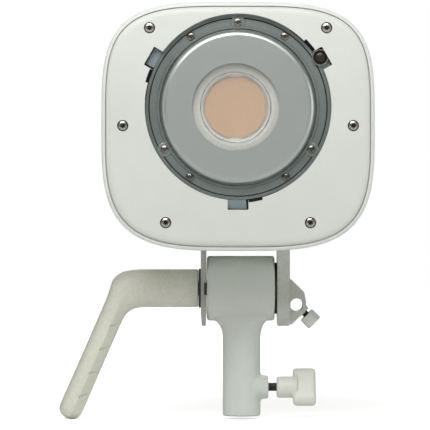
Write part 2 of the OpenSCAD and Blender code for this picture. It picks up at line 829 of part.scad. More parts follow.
module yoke_screws() color(steel) {
    for (x = [left_outer_x + 10, right_outer_x - 16], y = [-10, 10])
        translate([x, y, arm_top_z + foot_t + base_t + 0.2]) screw(3.4, 2.2, 2, 7);
}

module friction_washers() color(black) {
    translate([0, 0, axis_z]) {
        for (x = [barrel_left - face_gap - washer_t - running, barrel_right + face_gap]) difference() {
            rod_x(washer_r, x, x + washer_t);
            rod_x(bolt_r + 0.4, x - 1, x + washer_t + 1);
        }
    }
}

module tilt_nut() color(steel) {
    translate([nut_x, 0, axis_z]) difference() {
        rotate([30, 0, 0]) hexagon(nut_half, nut_t);
        rod_x(bolt_r + running, -1, nut_t + 1);
    }
}

handle_ring_x = left_outer_x - 1.5;

module handle_washer() color(black) {
    translate([0, 0, axis_z]) difference() {
        rod_x(13.1, handle_ring_x, left_outer_x - 0.05);
        rod_x(bolt_r + 0.4, handle_ring_x - 1, left_outer_x + 1);
    }
}

// Handle --------------------------------------------------------------------------------------------

handle_end_x = handle_ring_x - 0.2;
bend_x = -79.3;
lever_len = 95;
lever_half = 7.85;
lever_end = 6;
bolt_head_x = handle_end_x - 12;
groove_count = 4;
groove_pitch = 17;

// Oval section of the lever, thin sideways and wide front to back
module lever_section() {
    polygon([for (i = [0 : 31]) let (a = 360 * i / 32)
        [lever_half * squared(cos(a), 2.4), handle_r * squared(sin(a), 2.4)]]);
}

module handle_grip() color(warm_white) {
    difference() {
        union() {
            translate([0, 0, axis_z]) rod_x(handle_r, bend_x + 3, handle_end_x);
            translate([bend_x + 3, 0, axis_z - 1.2]) sphere(r = handle_r - 0.8);
            translate([bend_x, 0, axis_z]) rotate([0, lever_lean, 0]) {
                translate([0, 0, -lever_len + lever_end])
                    linear_extrude(lever_len - lever_end) lever_section();
                translate([0, 0, -lever_len + lever_half]) rod_y(lever_half - 0.05, -8, 8);
            }
        }
        translate([0, 0, axis_z]) {
            rod_x(bolt_r + running, bolt_head_x - 1, handle_end_x + 1);
            translate([bolt_head_x - 7, 0, 0]) hexagon(nut_half, 7);
        }
        for (i = [0 : groove_count - 1]) translate([bend_x, 0, axis_z]) rotate([0, lever_lean, 0])
            translate([lever_half + 0.6, 0, -30 - i * groove_pitch]) rod_y(1.4, -handle_r - 1, handle_r + 1);
    }
}

module tilt_bolt() color(steel) {
    translate([0, 0, axis_z]) {
        rod_x(bolt_r, bolt_head_x - 0.1, nut_x + nut_t - 0.5);
        translate([bolt_head_x - 7, 0, 0]) hexagon(nut_half - running, 7);
    }
}

// Stand receiver ------------------------------------------------------------------------------------

bush_outer_r = 7.5;
fillet_r = 8;

// Web that flares the tube into the barrel on both sides
module receiver_flare() {
    base_z = axis_z - barrel_r - 7;
    slab(-11.5, 11.5) for (side = [-1, 1])
        polygon(concat([[0, base_z], [side * tube_r, base_z]],
            [for (i = [0 : 8]) let (a = 90 * i / 8)
                [side * (tube_r + fillet_r - fillet_r * cos(a)), base_z + fillet_r * sin(a)]],
            [[side * (tube_r + fillet_r), base_z + fillet_r + 3], [0, base_z + fillet_r + 3]]));
}

module receiver() color(white) {
    difference() {
        union() {
            cylinder(r = tube_r, h = axis_z - barrel_r + 6);
            translate([0, 0, axis_z]) rod_x(barrel_r, barrel_left, barrel_right);
            receiver_flare();
            translate([0, 0, clamp_z]) rod_x(clamp_boss_r, 6, clamp_face_x);
        }
        translate([0, 0, -1]) cylinder(r = socket_r, h = socket_len + 1);
        translate([0, 0, axis_z]) rod_x(bush_outer_r, barrel_left - 1, barrel_right + 1);
        translate([0, 0, clamp_z]) rod_x(5, 6, clamp_face_x + 1);
    }
}

module barrel_bush() color("#c9b27a") {
    translate([0, 0, axis_z]) difference() {
        rod_x(bush_outer_r, barrel_left, barrel_right);
        rod_x(bolt_r + running, barrel_left - 1, barrel_right + 1);
    }
}

module clamp_insert() color("#c2a25a") {
    translate([0, 0, clamp_z]) difference() {
        rod_x(5, 9.2, clamp_face_x);
        rod_x(stud_r + running, 9, clamp_face_x + 1);
    }
}

module clamp_pad() color("#c2a25a") {
    translate([0, 0, clamp_z]) rod_x(2.6, 8.1, 10.4);
}

module clamp_stud() color(black) {
    translate([0, 0, clamp_z]) rod_x(stud_r, 10.5, knob_x + 9);
}

wing_half = 13.6;
wing_t = 5;

module clamp_knob() color(warm_white) {
    translate([0, 0, clamp_z]) difference() {
        union() {
            rod_x(7.4, knob_x, knob_x + 13);
            rotate([-28, 0, 0]) {
                box(knob_x + 11, knob_x + 26.4, -wing_t, wing_t, -wing_half + wing_t, wing_half - wing_t);
                for (z = [-wing_half + wing_t, wing_half - wing_t]) translate([0, 0, z])
                    rod_x(wing_t, knob_x + 11, knob_x + 26.4);
            }
        }
        rod_x(stud_r, knob_x - 1, knob_x + 9);
    }
}

// Umbrella screw ------------------------------------------------------------------------------------

screw_face = 9.7;
stud_start = umbrella_r + 1.2;

module on_umbrella_axis() {
    translate([umbrella_x, 0, umbrella_z]) rotate([0, 90 + umbrella_lean, 0]) children();
}

module umbrella_tip() color(black) {
    on_umbrella_axis() translate([0, 0, umbrella_r + 0.15]) cylinder(r = 1.8, h = 1);
}

module umbrella_stud() color(black) {
    on_umbrella_axis() translate([0, 0, stud_start]) cylinder(r = 2.5, h = screw_face + 5 - stud_start);
}

module umbrella_cap() color(white) {
    on_umbrella_axis() difference() {
        union() {
            translate([0, 0, screw_face]) cylinder(r = 5.4, h = 7.6);
            for (a = [0 : 30 : 330]) rotate([0, 0, a])
                translate([5.3, 0, screw_face + 0.8]) cylinder(r = 0.5, h = 6);
        }
        translate([0, 0, screw_face - 1]) cylinder(r = 2.5, h = 6);
    }
}

receiver();
barrel_bush();
clamp_insert();
upper_shell();
lower_shell();
front_plate();
front_screws();
bayonet_ring();
bayonet_screws();
pin_bush();
pin_spring();
reflector_cover();
window_glass();
window_seal();
source_ring();
source_board();
phosphor();
front_frame();
heat_spreader();
heat_pipes();
heatsink();
fan_frame();
fan_bearing();
fan_rotor();
power_board();
power_parts();
control_board();
control_switches();
rear_panel();
rear_screws();
display_window();
inlet_body();
inlet_pins();
switch_frame();
yoke_base();
yoke_screws();
yoke_plate_left();
yoke_arm_right();
friction_washers();
tilt_nut();
handle_washer();
handle_grip();
tilt_bolt();
clamp_pad();
clamp_stud();
clamp_knob();
umbrella_tip();
umbrella_stud();
umbrella_cap();
lock_pin();
release_slider();
dial_left_shaft();
dial_left_knob();
dial_right_shaft();
dial_right_knob();
button_left();
button_middle();
button_right();
power_rocker();
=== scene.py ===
"""The looks of a continuous-light monolight, from its bayonet front to its stand receiver.

Every piece is modelled in millimetres on the bench, handed over in metres and made to ride on its body.
"""

import sys
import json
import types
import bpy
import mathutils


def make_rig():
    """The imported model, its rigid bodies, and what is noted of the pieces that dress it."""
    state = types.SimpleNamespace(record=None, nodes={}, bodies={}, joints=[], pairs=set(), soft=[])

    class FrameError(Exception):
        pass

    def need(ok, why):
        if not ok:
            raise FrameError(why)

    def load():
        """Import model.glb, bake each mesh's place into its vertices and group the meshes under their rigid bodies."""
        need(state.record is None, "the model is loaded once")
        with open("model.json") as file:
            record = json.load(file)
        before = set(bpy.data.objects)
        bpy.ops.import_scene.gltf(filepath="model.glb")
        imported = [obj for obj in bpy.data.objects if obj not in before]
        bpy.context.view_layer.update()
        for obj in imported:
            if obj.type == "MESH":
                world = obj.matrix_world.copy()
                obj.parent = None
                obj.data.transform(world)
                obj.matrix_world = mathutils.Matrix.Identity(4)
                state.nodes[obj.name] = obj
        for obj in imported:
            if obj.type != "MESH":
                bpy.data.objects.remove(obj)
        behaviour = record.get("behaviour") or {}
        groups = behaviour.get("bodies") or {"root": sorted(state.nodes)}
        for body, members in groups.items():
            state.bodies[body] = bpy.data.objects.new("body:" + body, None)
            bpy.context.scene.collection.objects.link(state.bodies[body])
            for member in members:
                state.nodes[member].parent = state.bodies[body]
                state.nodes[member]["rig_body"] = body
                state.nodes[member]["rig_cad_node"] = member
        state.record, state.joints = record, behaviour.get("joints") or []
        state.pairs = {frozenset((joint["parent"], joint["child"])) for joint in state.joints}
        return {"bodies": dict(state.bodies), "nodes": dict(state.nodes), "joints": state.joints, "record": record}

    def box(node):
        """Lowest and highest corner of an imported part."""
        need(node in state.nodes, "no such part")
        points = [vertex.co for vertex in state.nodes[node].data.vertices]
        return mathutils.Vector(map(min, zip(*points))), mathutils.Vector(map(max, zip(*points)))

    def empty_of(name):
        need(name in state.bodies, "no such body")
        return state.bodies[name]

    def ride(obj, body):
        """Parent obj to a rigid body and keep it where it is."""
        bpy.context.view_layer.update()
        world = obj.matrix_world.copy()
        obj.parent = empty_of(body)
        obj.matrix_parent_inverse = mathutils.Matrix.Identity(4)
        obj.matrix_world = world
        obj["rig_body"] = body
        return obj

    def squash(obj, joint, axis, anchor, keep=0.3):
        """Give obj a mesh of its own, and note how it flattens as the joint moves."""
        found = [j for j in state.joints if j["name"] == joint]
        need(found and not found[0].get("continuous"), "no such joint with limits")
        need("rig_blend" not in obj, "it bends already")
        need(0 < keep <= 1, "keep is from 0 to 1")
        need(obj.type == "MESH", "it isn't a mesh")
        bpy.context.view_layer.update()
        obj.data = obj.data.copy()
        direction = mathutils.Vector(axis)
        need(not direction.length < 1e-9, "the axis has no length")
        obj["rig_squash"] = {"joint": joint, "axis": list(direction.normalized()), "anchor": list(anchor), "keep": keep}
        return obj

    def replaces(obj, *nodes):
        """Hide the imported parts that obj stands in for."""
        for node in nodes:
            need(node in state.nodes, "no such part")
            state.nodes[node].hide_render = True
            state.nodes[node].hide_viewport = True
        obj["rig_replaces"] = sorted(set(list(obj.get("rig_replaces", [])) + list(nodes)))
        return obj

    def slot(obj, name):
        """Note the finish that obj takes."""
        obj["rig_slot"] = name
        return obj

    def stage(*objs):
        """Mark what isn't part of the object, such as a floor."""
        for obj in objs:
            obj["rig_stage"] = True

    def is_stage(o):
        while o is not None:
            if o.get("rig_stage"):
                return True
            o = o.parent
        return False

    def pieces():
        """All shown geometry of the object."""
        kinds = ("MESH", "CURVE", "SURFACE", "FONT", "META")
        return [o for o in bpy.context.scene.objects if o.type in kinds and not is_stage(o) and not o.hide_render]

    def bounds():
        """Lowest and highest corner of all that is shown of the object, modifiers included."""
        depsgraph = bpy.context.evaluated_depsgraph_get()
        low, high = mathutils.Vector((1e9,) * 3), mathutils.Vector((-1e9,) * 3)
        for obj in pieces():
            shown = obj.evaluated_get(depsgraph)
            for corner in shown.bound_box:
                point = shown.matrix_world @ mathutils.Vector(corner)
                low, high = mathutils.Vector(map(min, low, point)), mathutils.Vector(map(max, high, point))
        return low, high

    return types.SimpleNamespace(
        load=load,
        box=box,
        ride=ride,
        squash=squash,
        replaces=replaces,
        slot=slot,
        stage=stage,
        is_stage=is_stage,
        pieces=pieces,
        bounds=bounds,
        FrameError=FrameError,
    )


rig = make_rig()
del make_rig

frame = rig.load()

import json
import logging
import math
from collections.abc import Callable, Iterable, Iterator, Sequence
from contextlib import contextmanager
from dataclasses import dataclass
from enum import Enum

import bpy
from mathutils import Euler, Matrix, Vector

log = logging.getLogger("monolight")

for stranger in [o for o in bpy.data.objects if o.get("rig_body") is None and not o.name.startswith("body:")]:
    bpy.data.objects.remove(stranger)
CAD_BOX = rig.bounds()

MM = 0.001
FULL_TURN = 2 * math.pi

Point = tuple[float, float]
Corner = tuple[float, float, float]
Colour = tuple[float, float, float]
Place = Callable[[Point], Corner]


class Axis(Enum):
    """The direction that a turned or extruded shape runs along."""

    X = (1.0, 0.0, 0.0)
    Y = (0.0, 1.0, 0.0)
    Z = (0.0, 0.0, 1.0)

    @property
    def vector(self) -> Vector:
        """The unit vector along the axis."""
        return Vector(self.value)

    @property
    def turn(self) -> Matrix:
        """The turn that takes an upright shape onto the axis."""
        angles = {"X": (0, math.pi / 2, 0), "Y": (-math.pi / 2, 0, 0), "Z": (0, 0, 0)}
        return Euler(angles[self.name]).to_matrix().to_4x4()

    def place(self, along: float) -> Place:
        """Puts a flat point on the plane across the axis.

        Args:
            along: How far along the axis the plane stands, in millimetres.

        Returns:
            A function from a flat point to a place.
        """
        spots: dict[str, Place] = {
            "X": lambda p: (along, p[0], p[1]),
            "Y": lambda p: (p[0], along, p[1]),
            "Z": lambda p: (p[0], p[1], along),
        }
        return spots[self.name]


@dataclass(frozen=True)
class Extent:
    """The box of one or more CAD nodes at rest, in millimetres."""

    low: Vector
    high: Vector

    @classmethod
    def of(cls, *nodes: str) -> "Extent":
        """The box round the named nodes."""
        boxes = [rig.box(node) for node in nodes]
        low = Vector([min(b[0][k] for b in boxes) / MM for k in range(3)])
        high = Vector([max(b[1][k] for b in boxes) / MM for k in range(3)])
        return cls(low, high)

    @property
    def centre(self) -> Vector:
        """The middle of the box."""
        return (self.low + self.high) / 2

    @property
    def size(self) -> Vector:
        """The box's three sides."""
        return self.high - self.low


# Flat outlines ---------------------------------------------------------------------------------------


def arc(radius: float, start: float, end: float, steps: int, centre: Point = (0.0, 0.0)) -> list[Point]:
    """Points along an arc.

    Args:
        radius: Radius in millimetres.
        start: First angle in degrees.
        end: Last angle in degrees.
        steps: How many steps to take.
        centre: Centre of the arc.

    Returns:
        The points, both ends included.
    """
    angles = [math.radians(start + (end - start) * i / steps) for i in range(steps + 1)]
    return [(centre[0] + radius * math.cos(a), centre[1] + radius * math.sin(a)) for a in angles]


def circle(radius: float, steps: int = 64, centre: Point = (0.0, 0.0)) -> list[Point]:
    """Points round a full circle."""
    return arc(radius, 0, 360, steps, centre)[:-1]


def rounded(corners: Sequence[Corner], steps: int = 5) -> list[Point]:
    """Rounds the corners of an outline.

    Args:
        corners: Each corner's two coordinates and the radius to round it by, zero for a sharp one.
        steps: How many steps each rounding takes.

    Returns:
        The rounded outline's points.
    """
    made: list[Point] = []
    for i, (u, v, radius) in enumerate(corners):
        here = Vector((u, v))
        back = Vector(corners[i - 1][:2]) - here
        ahead = Vector(corners[(i + 1) % len(corners)][:2]) - here
        half = back.angle(ahead) / 2
        if radius <= 0 or half > math.radians(89):
            made.append((u, v))
            continue
        reach = min(radius / math.tan(half), back.length * 0.49, ahead.length * 0.49)
        true_radius = reach * math.tan(half)
        centre = here + (back.normalized() + ahead.normalized()).normalized() * true_radius / math.sin(half)
        start = here + back.normalized() * reach - centre
        end = here + ahead.normalized() * reach - centre
        first = math.atan2(start.y, start.x)
        sweep = (math.atan2(end.y, end.x) - first + math.pi) % FULL_TURN - math.pi
        made += arc(true_radius, math.degrees(first), math.degrees(first + sweep), steps,
                    (centre.x, centre.y))
    return made


def rectangle(low: Point, high: Point, radius: float, steps: int = 5) -> list[Point]:
    """A rectangle with rounded corners."""
    (u0, v0), (u1, v1) = low, high
    return rounded([(u0, v0, radius), (u1, v0, radius), (u1, v1, radius), (u0, v1, radius)], steps)


def centred(centre: Point, half_u: float, half_v: float, radius: float, steps: int = 5) -> list[Point]:
    """A rounded rectangle about its centre."""
    u, v = centre
    return rectangle((u - half_u, v - half_v), (u + half_u, v + half_v), radius, steps)


def framed(box: "Extent", radius: float, grow: float = 0.0, steps: int = 5) -> list[Point]:
    """The rounded outline of a box seen from the front or rear, grown all round."""
    return rectangle((box.low.x - grow, box.low.z - grow), (box.high.x + grow, box.high.z + grow), radius,
                     steps)


def quarter(steps: int) -> list[float]:
    """Angles from nothing to a right angle, in radians."""
    return [math.pi / 2 * i / steps for i in range(steps + 1)]


def squared(value: float, power: float) -> float:
    """A sine or cosine bent so that its circle fills out towards a square."""
    return math.copysign(abs(value) ** (2 / power), value)


def sector(inner: float, outer: float, start: float, end: float, centre: Point,
           steps: int = 10) -> list[Point]:
    """A stretch of a flat ring between two angles in degrees."""
    return arc(outer, start, end, steps, centre) + arc(inner, end, start, steps, centre)


# The bench -------------------------------------------------------------------------------------------


class Bench:
    """The modelling bench: primitives shaped with Blender's own operators, in millimetres."""

    @staticmethod
    def only(obj: bpy.types.Object) -> None:
        """Selects one object and nothing else."""
        bpy.ops.object.select_all(action="DESELECT")
        obj.select_set(True)
        bpy.context.view_layer.objects.active = obj

    @classmethod
    @contextmanager
    def editing(cls, obj: bpy.types.Object) -> Iterator[None]:
        """Edit mode on one object, with all of it selected."""
        cls.only(obj)
        bpy.ops.object.mode_set(mode="EDIT")
        bpy.ops.mesh.select_all(action="SELECT")
        yield
        bpy.ops.object.mode_set(mode="OBJECT")

    @staticmethod
    def outline(points: Sequence[Point], place: Place) -> bpy.types.Object:
        """A ring of edges: a circle primitive whose rim is moved onto an outline.

        Args:
            points: The outline.
            place: Where each flat point goes.

        Returns:
            The new object, in object mode.
        """
        bpy.ops.object.select_all(action="DESELECT")
        bpy.ops.mesh.primitive_circle_add(vertices=len(points), radius=1)
        obj = bpy.context.object
        for vertex, point in zip(obj.data.vertices, points):
            vertex.co = place(point)
        return obj

    @classmethod
    def prism(cls, points: Sequence[Point], axis: Axis, start: float, end: float) -> bpy.types.Object:
        """A solid that an outline sweeps along an axis.

        Args:
            points: The outline, across the axis.
            axis: The direction of the sweep.
            start: Where it starts along the axis.
            end: Where it ends.

        Returns:
            The closed solid.
        """
        obj = cls.outline(points, axis.place(start))
        with cls.editing(obj):
            bpy.ops.mesh.edge_face_add()
            bpy.ops.mesh.extrude_region_move(TRANSFORM_OT_translate={"value": axis.vector * (end - start)})
        return cls.righted(obj)

    @classmethod
    def lathe(cls, profile: Sequence[Point], axis: Axis, at: Iterable[float], steps: int = 96,
              lean: Matrix | None = None) -> bpy.types.Object:
        """A solid turned about an axis.

        Args:
            profile: Closed section, each point a radius and a place along the axis.
            axis: The direction of the axis.
            at: A place that the axis passes through, from which the profile is measured.
            steps: How many sides the turning has.
            lean: A turn to use instead of the axis's own.

        Returns:
            The closed solid.
        """
        obj = cls.outline(profile, lambda p: (p[0], 0.0, p[1]))
        with cls.editing(obj):
            bpy.ops.mesh.spin(steps=steps, angle=FULL_TURN, center=(0, 0, 0), axis=(0, 0, 1))
            bpy.ops.mesh.select_all(action="SELECT")
            bpy.ops.mesh.remove_doubles(threshold=0.0005)
            bpy.ops.mesh.delete_loose()
        return cls.righted(cls.moved(obj, Matrix.Translation(Vector(at)) @ (lean or axis.turn)))

    @classmethod
    def righted(cls, obj: bpy.types.Object) -> bpy.types.Object:
        """Turns a closed solid's faces outwards, judged by the sign of its volume."""
        with cls.editing(obj):
            bpy.ops.mesh.normals_make_consistent(inside=False)
        volume = 0.0
        for face in obj.data.polygons:
            corners = [obj.data.vertices[v].co for v in face.vertices]
            for second, third in zip(corners[1:], corners[2:]):
                volume += corners[0].dot(second.cross(third))
        if volume < 0:
            with cls.editing(obj):
                bpy.ops.mesh.flip_normals()
        return obj

    @classmethod
    def loft(cls, rings: Sequence[bpy.types.Object], capped: bool = True) -> bpy.types.Object:
        """A skin through a row of rings with the same number of points.

        Args:
            rings: The rings, in order. They are used up.
            capped: Whether the two ends are closed.

        Returns:
            The lofted object.
        """
        count = len(rings[0].data.vertices)
        points = [vertex.co.copy() for ring in rings for vertex in ring.data.vertices]
        faces = [(i + j, i + (j + 1) % count, i + count + (j + 1) % count, i + count + j)
                 for i in range(0, len(points) - count, count) for j in range(count)]
        if capped:
            faces += [tuple(range(count)), tuple(range(len(points) - count, len(points)))]
        obj = rings[0]
        obj.data.clear_geometry()
        obj.data.from_pydata(points, [], faces)
        for ring in rings[1:]:
            bpy.data.objects.remove(ring)
        return cls.righted(obj)

    @classmethod
    def joined(cls, objects: Sequence[bpy.types.Object]) -> bpy.types.Object:
        """Several objects as one mesh."""
        if len(objects) == 1:
            return objects[0]
        cls.only(objects[0])
        for obj in objects:
            obj.select_set(True)
        bpy.ops.object.join()
        return bpy.context.object

    @classmethod
    def moved(cls, obj: bpy.types.Object, matrix: Matrix) -> bpy.types.Object:
        """Moves an object and applies its place to its mesh."""
        obj.matrix_world = matrix @ obj.matrix_world
        cls.only(obj)
        bpy.ops.object.transform_apply(location=True, rotation=True, scale=True)
        return obj

    @classmethod
    def copies(cls, obj: bpy.types.Object, matrices: Iterable[Matrix]) -> list[bpy.types.Object]:
        """Copies of an object, each with its own mesh, at the given places.

        Args:
            obj: The object to copy. It is used up.
            matrices: Where each copy goes.

        Returns:
            The copies.
        """
        made = []
        for matrix in matrices:
            twin = obj.copy()
            twin.data = obj.data.copy()
            bpy.context.scene.collection.objects.link(twin)
            made.append(cls.moved(twin, matrix))
        bpy.data.objects.remove(obj)
        return made

    @classmethod
    def applied(cls, obj: bpy.types.Object, kind: str, **settings: object) -> bpy.types.Object:
        """Adds a modifier with the given settings and applies it."""
        modifier = obj.modifiers.new(kind.lower(), kind)
        for name, value in settings.items():
            setattr(modifier, name, value)
        cls.only(obj)
        bpy.ops.object.modifier_apply(modifier=modifier.name)
        return obj

    @classmethod
    def combined(cls, obj: bpy.types.Object, others: Sequence[bpy.types.Object],
                 how: str) -> bpy.types.Object:
        """Cuts other solids from an object, or unites them with it. The others are used up."""
        for other in others:
            cls.applied(obj, "BOOLEAN", operation=how, solver="EXACT", object=other)
            bpy.data.objects.remove(other)
        return obj

    @classmethod
    def cut(cls, obj: bpy.types.Object, *tools: bpy.types.Object) -> bpy.types.Object:
        """Cuts solids from an object."""
        return cls.combined(obj, tools, "DIFFERENCE")

    @classmethod
    def united(cls, obj: bpy.types.Object, *others: bpy.types.Object) -> bpy.types.Object:
        """Unites solids with an object."""
        return cls.combined(obj, others, "UNION")

    @classmethod
    def softened(cls, obj: bpy.types.Object, width: float, segments: int = 3,
                 angle: float = 38) -> bpy.types.Object:
        """Rounds every edge sharper than an angle in degrees."""
        return cls.applied(obj, "BEVEL", width=width, segments=segments, limit_method="ANGLE",
                           angle_limit=math.radians(angle), use_clamp_overlap=True)

    @classmethod
    def melted(cls, obj: bpy.types.Object, grain: float, passes: int) -> bpy.types.Object:
        """Runs joined shapes into each other with soft fillets, as a casting or moulding has.

        Args:
            obj: The joined shapes.
            grain: The size of the new skin's faces, in millimetres.
            passes: How many times the skin is smoothed, which sets the fillets' size.

        Returns:
            The same object.
        """
        cls.applied(obj, "REMESH", mode="VOXEL", voxel_size=grain, use_smooth_shade=True)
        cls.applied(obj, "SMOOTH", factor=0.5, iterations=passes)
        return cls.applied(obj, "DECIMATE", ratio=0.35)

    @classmethod
    def handed_over(cls, obj: bpy.types.Object, name: str, finish: "Finish", body: str,
                    replaces: Sequence[str] = (), smooth: float = 38) -> bpy.types.Object:
        """Turns a finished piece into metres, dresses it and sets it on its body.

        Args:
            obj: The piece, in millimetres.
            name: The piece's name.
            finish: The finish it wears.
            body: The body it rides on.
            replaces: The CAD nodes it stands for.
            smooth: Edges flatter than this many degrees are shaded smooth.

        Returns:
            The finished piece.
        """
        cls.moved(obj, Matrix.Scale(MM, 4))
        obj.name = obj.data.name = name
        cls.only(obj)
        bpy.ops.object.shade_smooth_by_angle(angle=math.radians(smooth))
        cls.applied(obj, "WEIGHTED_NORMAL", keep_sharp=True)
        obj.data.materials.clear()
        obj.data.materials.append(finish.material())
        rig.ride(obj, body)
        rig.slot(obj, finish.slot)
        if replaces:
            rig.replaces(obj, *replaces)
        log.info("%s: %d faces, %s, rides on %s", name, len(obj.data.polygons), finish.name, body)
        return obj


# Finishes --------------------------------------------------------------------------------------------


class Grain(Enum):
    """How a surface was made, which sets the relief it carries."""

    MOULDED = "fine even moulding texture"
    POWDERED = "powder coat with an orange-peel skin"
    BLASTED = "bead-blasted metal"
    BRUSHED = "metal brushed along its length"
    TURNED = "metal turned on a lathe"
    SMOOTH = "polished or glossy"


class Tree:
    """A material's node tree, with short calls for the nodes that these finishes use."""

    def __init__(self, name: str) -> None:
        """Starts an empty tree with a shader and an output."""
        self.material = bpy.data.materials.new(name)
        self.material.use_nodes = True
        self.nodes = self.material.node_tree.nodes
        self.links = self.material.node_tree.links
        self.nodes.clear()
        self.shader = self.nodes.new("ShaderNodeBsdfPrincipled")
        output = self.nodes.new("ShaderNodeOutputMaterial")
        self.links.new(self.shader.outputs[0], output.inputs[0])
        self.place = self.nodes.new("ShaderNodeTexCoord").outputs["Object"]

    @classmethod
    def reopened(cls, material: bpy.types.Material) -> "Tree":
        """The tree of a material that is already built."""
        tree = cls.__new__(cls)
        tree.material, tree.nodes, tree.links = material, material.node_tree.nodes, material.node_tree.links
        tree.shader = next(n for n in tree.nodes if n.type == "BSDF_PRINCIPLED")
        tree.place = next(n for n in tree.nodes if n.type == "TEX_COORD").outputs["Object"]
        return tree

    def add(self, kind: str, inputs: dict[str, object] | None = None, **settings: object) -> bpy.types.Node:
        """Adds a node.

        Args:
            kind: The node's type, without its usual prefix.
            inputs: Sockets by name, each with a number, a colour or a socket to link.
            settings: The node's own settings.

        Returns:
            The node.
        """
        node = self.nodes.new("ShaderNode" + kind)
        for name, value in settings.items():
            setattr(node, name, value)
        for name, value in (inputs or {}).items():
            self.feed(node.inputs[name], value)
        return node

    def feed(self, socket: bpy.types.NodeSocket, value: object) -> None:
        """Links a socket to another, or sets it to a number or colour."""
        if isinstance(value, bpy.types.NodeSocket):
            self.links.new(value, socket)
        else:
            socket.default_value = (*value, 1.0) if isinstance(value, tuple) and len(value) == 3 \
                and socket.type == "RGBA" else value

    def stretched(self, scale: tuple[float, float, float]) -> bpy.types.NodeSocket:
        """Object coordinates stretched along the axes."""
        return self.add("Mapping", {"Vector": self.place, "Scale": scale}).outputs[0]

    def noise(self, scale: float, detail: float = 2.0, vector: bpy.types.NodeSocket | None = None,
              harshness: float = 0.5) -> bpy.types.NodeSocket:
        """Noise between 0 and 1, its scale in patches per metre."""
        return self.add("TexNoise", {"Vector": vector or self.place, "Scale": scale, "Detail": detail,
                                     "Roughness": harshness}).outputs[0]

    def spread(self, value: bpy.types.NodeSocket, low: float, high: float, to_low: float,
               to_high: float) -> bpy.types.NodeSocket:
        """A value moved from one range to another and kept inside it."""
        return self.add("MapRange", {"Value": value, "From Min": low, "From Max": high, "To Min": to_low,
                                     "To Max": to_high}).outputs[0]

    def sum(self, first: object, second: object, how: str = "ADD") -> bpy.types.NodeSocket:
        """Two values added, multiplied or otherwise joined."""
        node = self.add("Math", operation=how)
        self.feed(node.inputs[0], first)
        self.feed(node.inputs[1], second)
        return node.outputs[0]

    def blend(self, factor: bpy.types.NodeSocket, first: object, second: object,
              how: str = "MIX") -> bpy.types.NodeSocket:
        """Two colours mixed by a factor."""
        node = self.add("Mix", data_type="RGBA", blend_type=how)
        self.feed(node.inputs["Factor"], factor)
        self.feed(node.inputs[6], first)
        self.feed(node.inputs[7], second)
        return node.outputs[2]


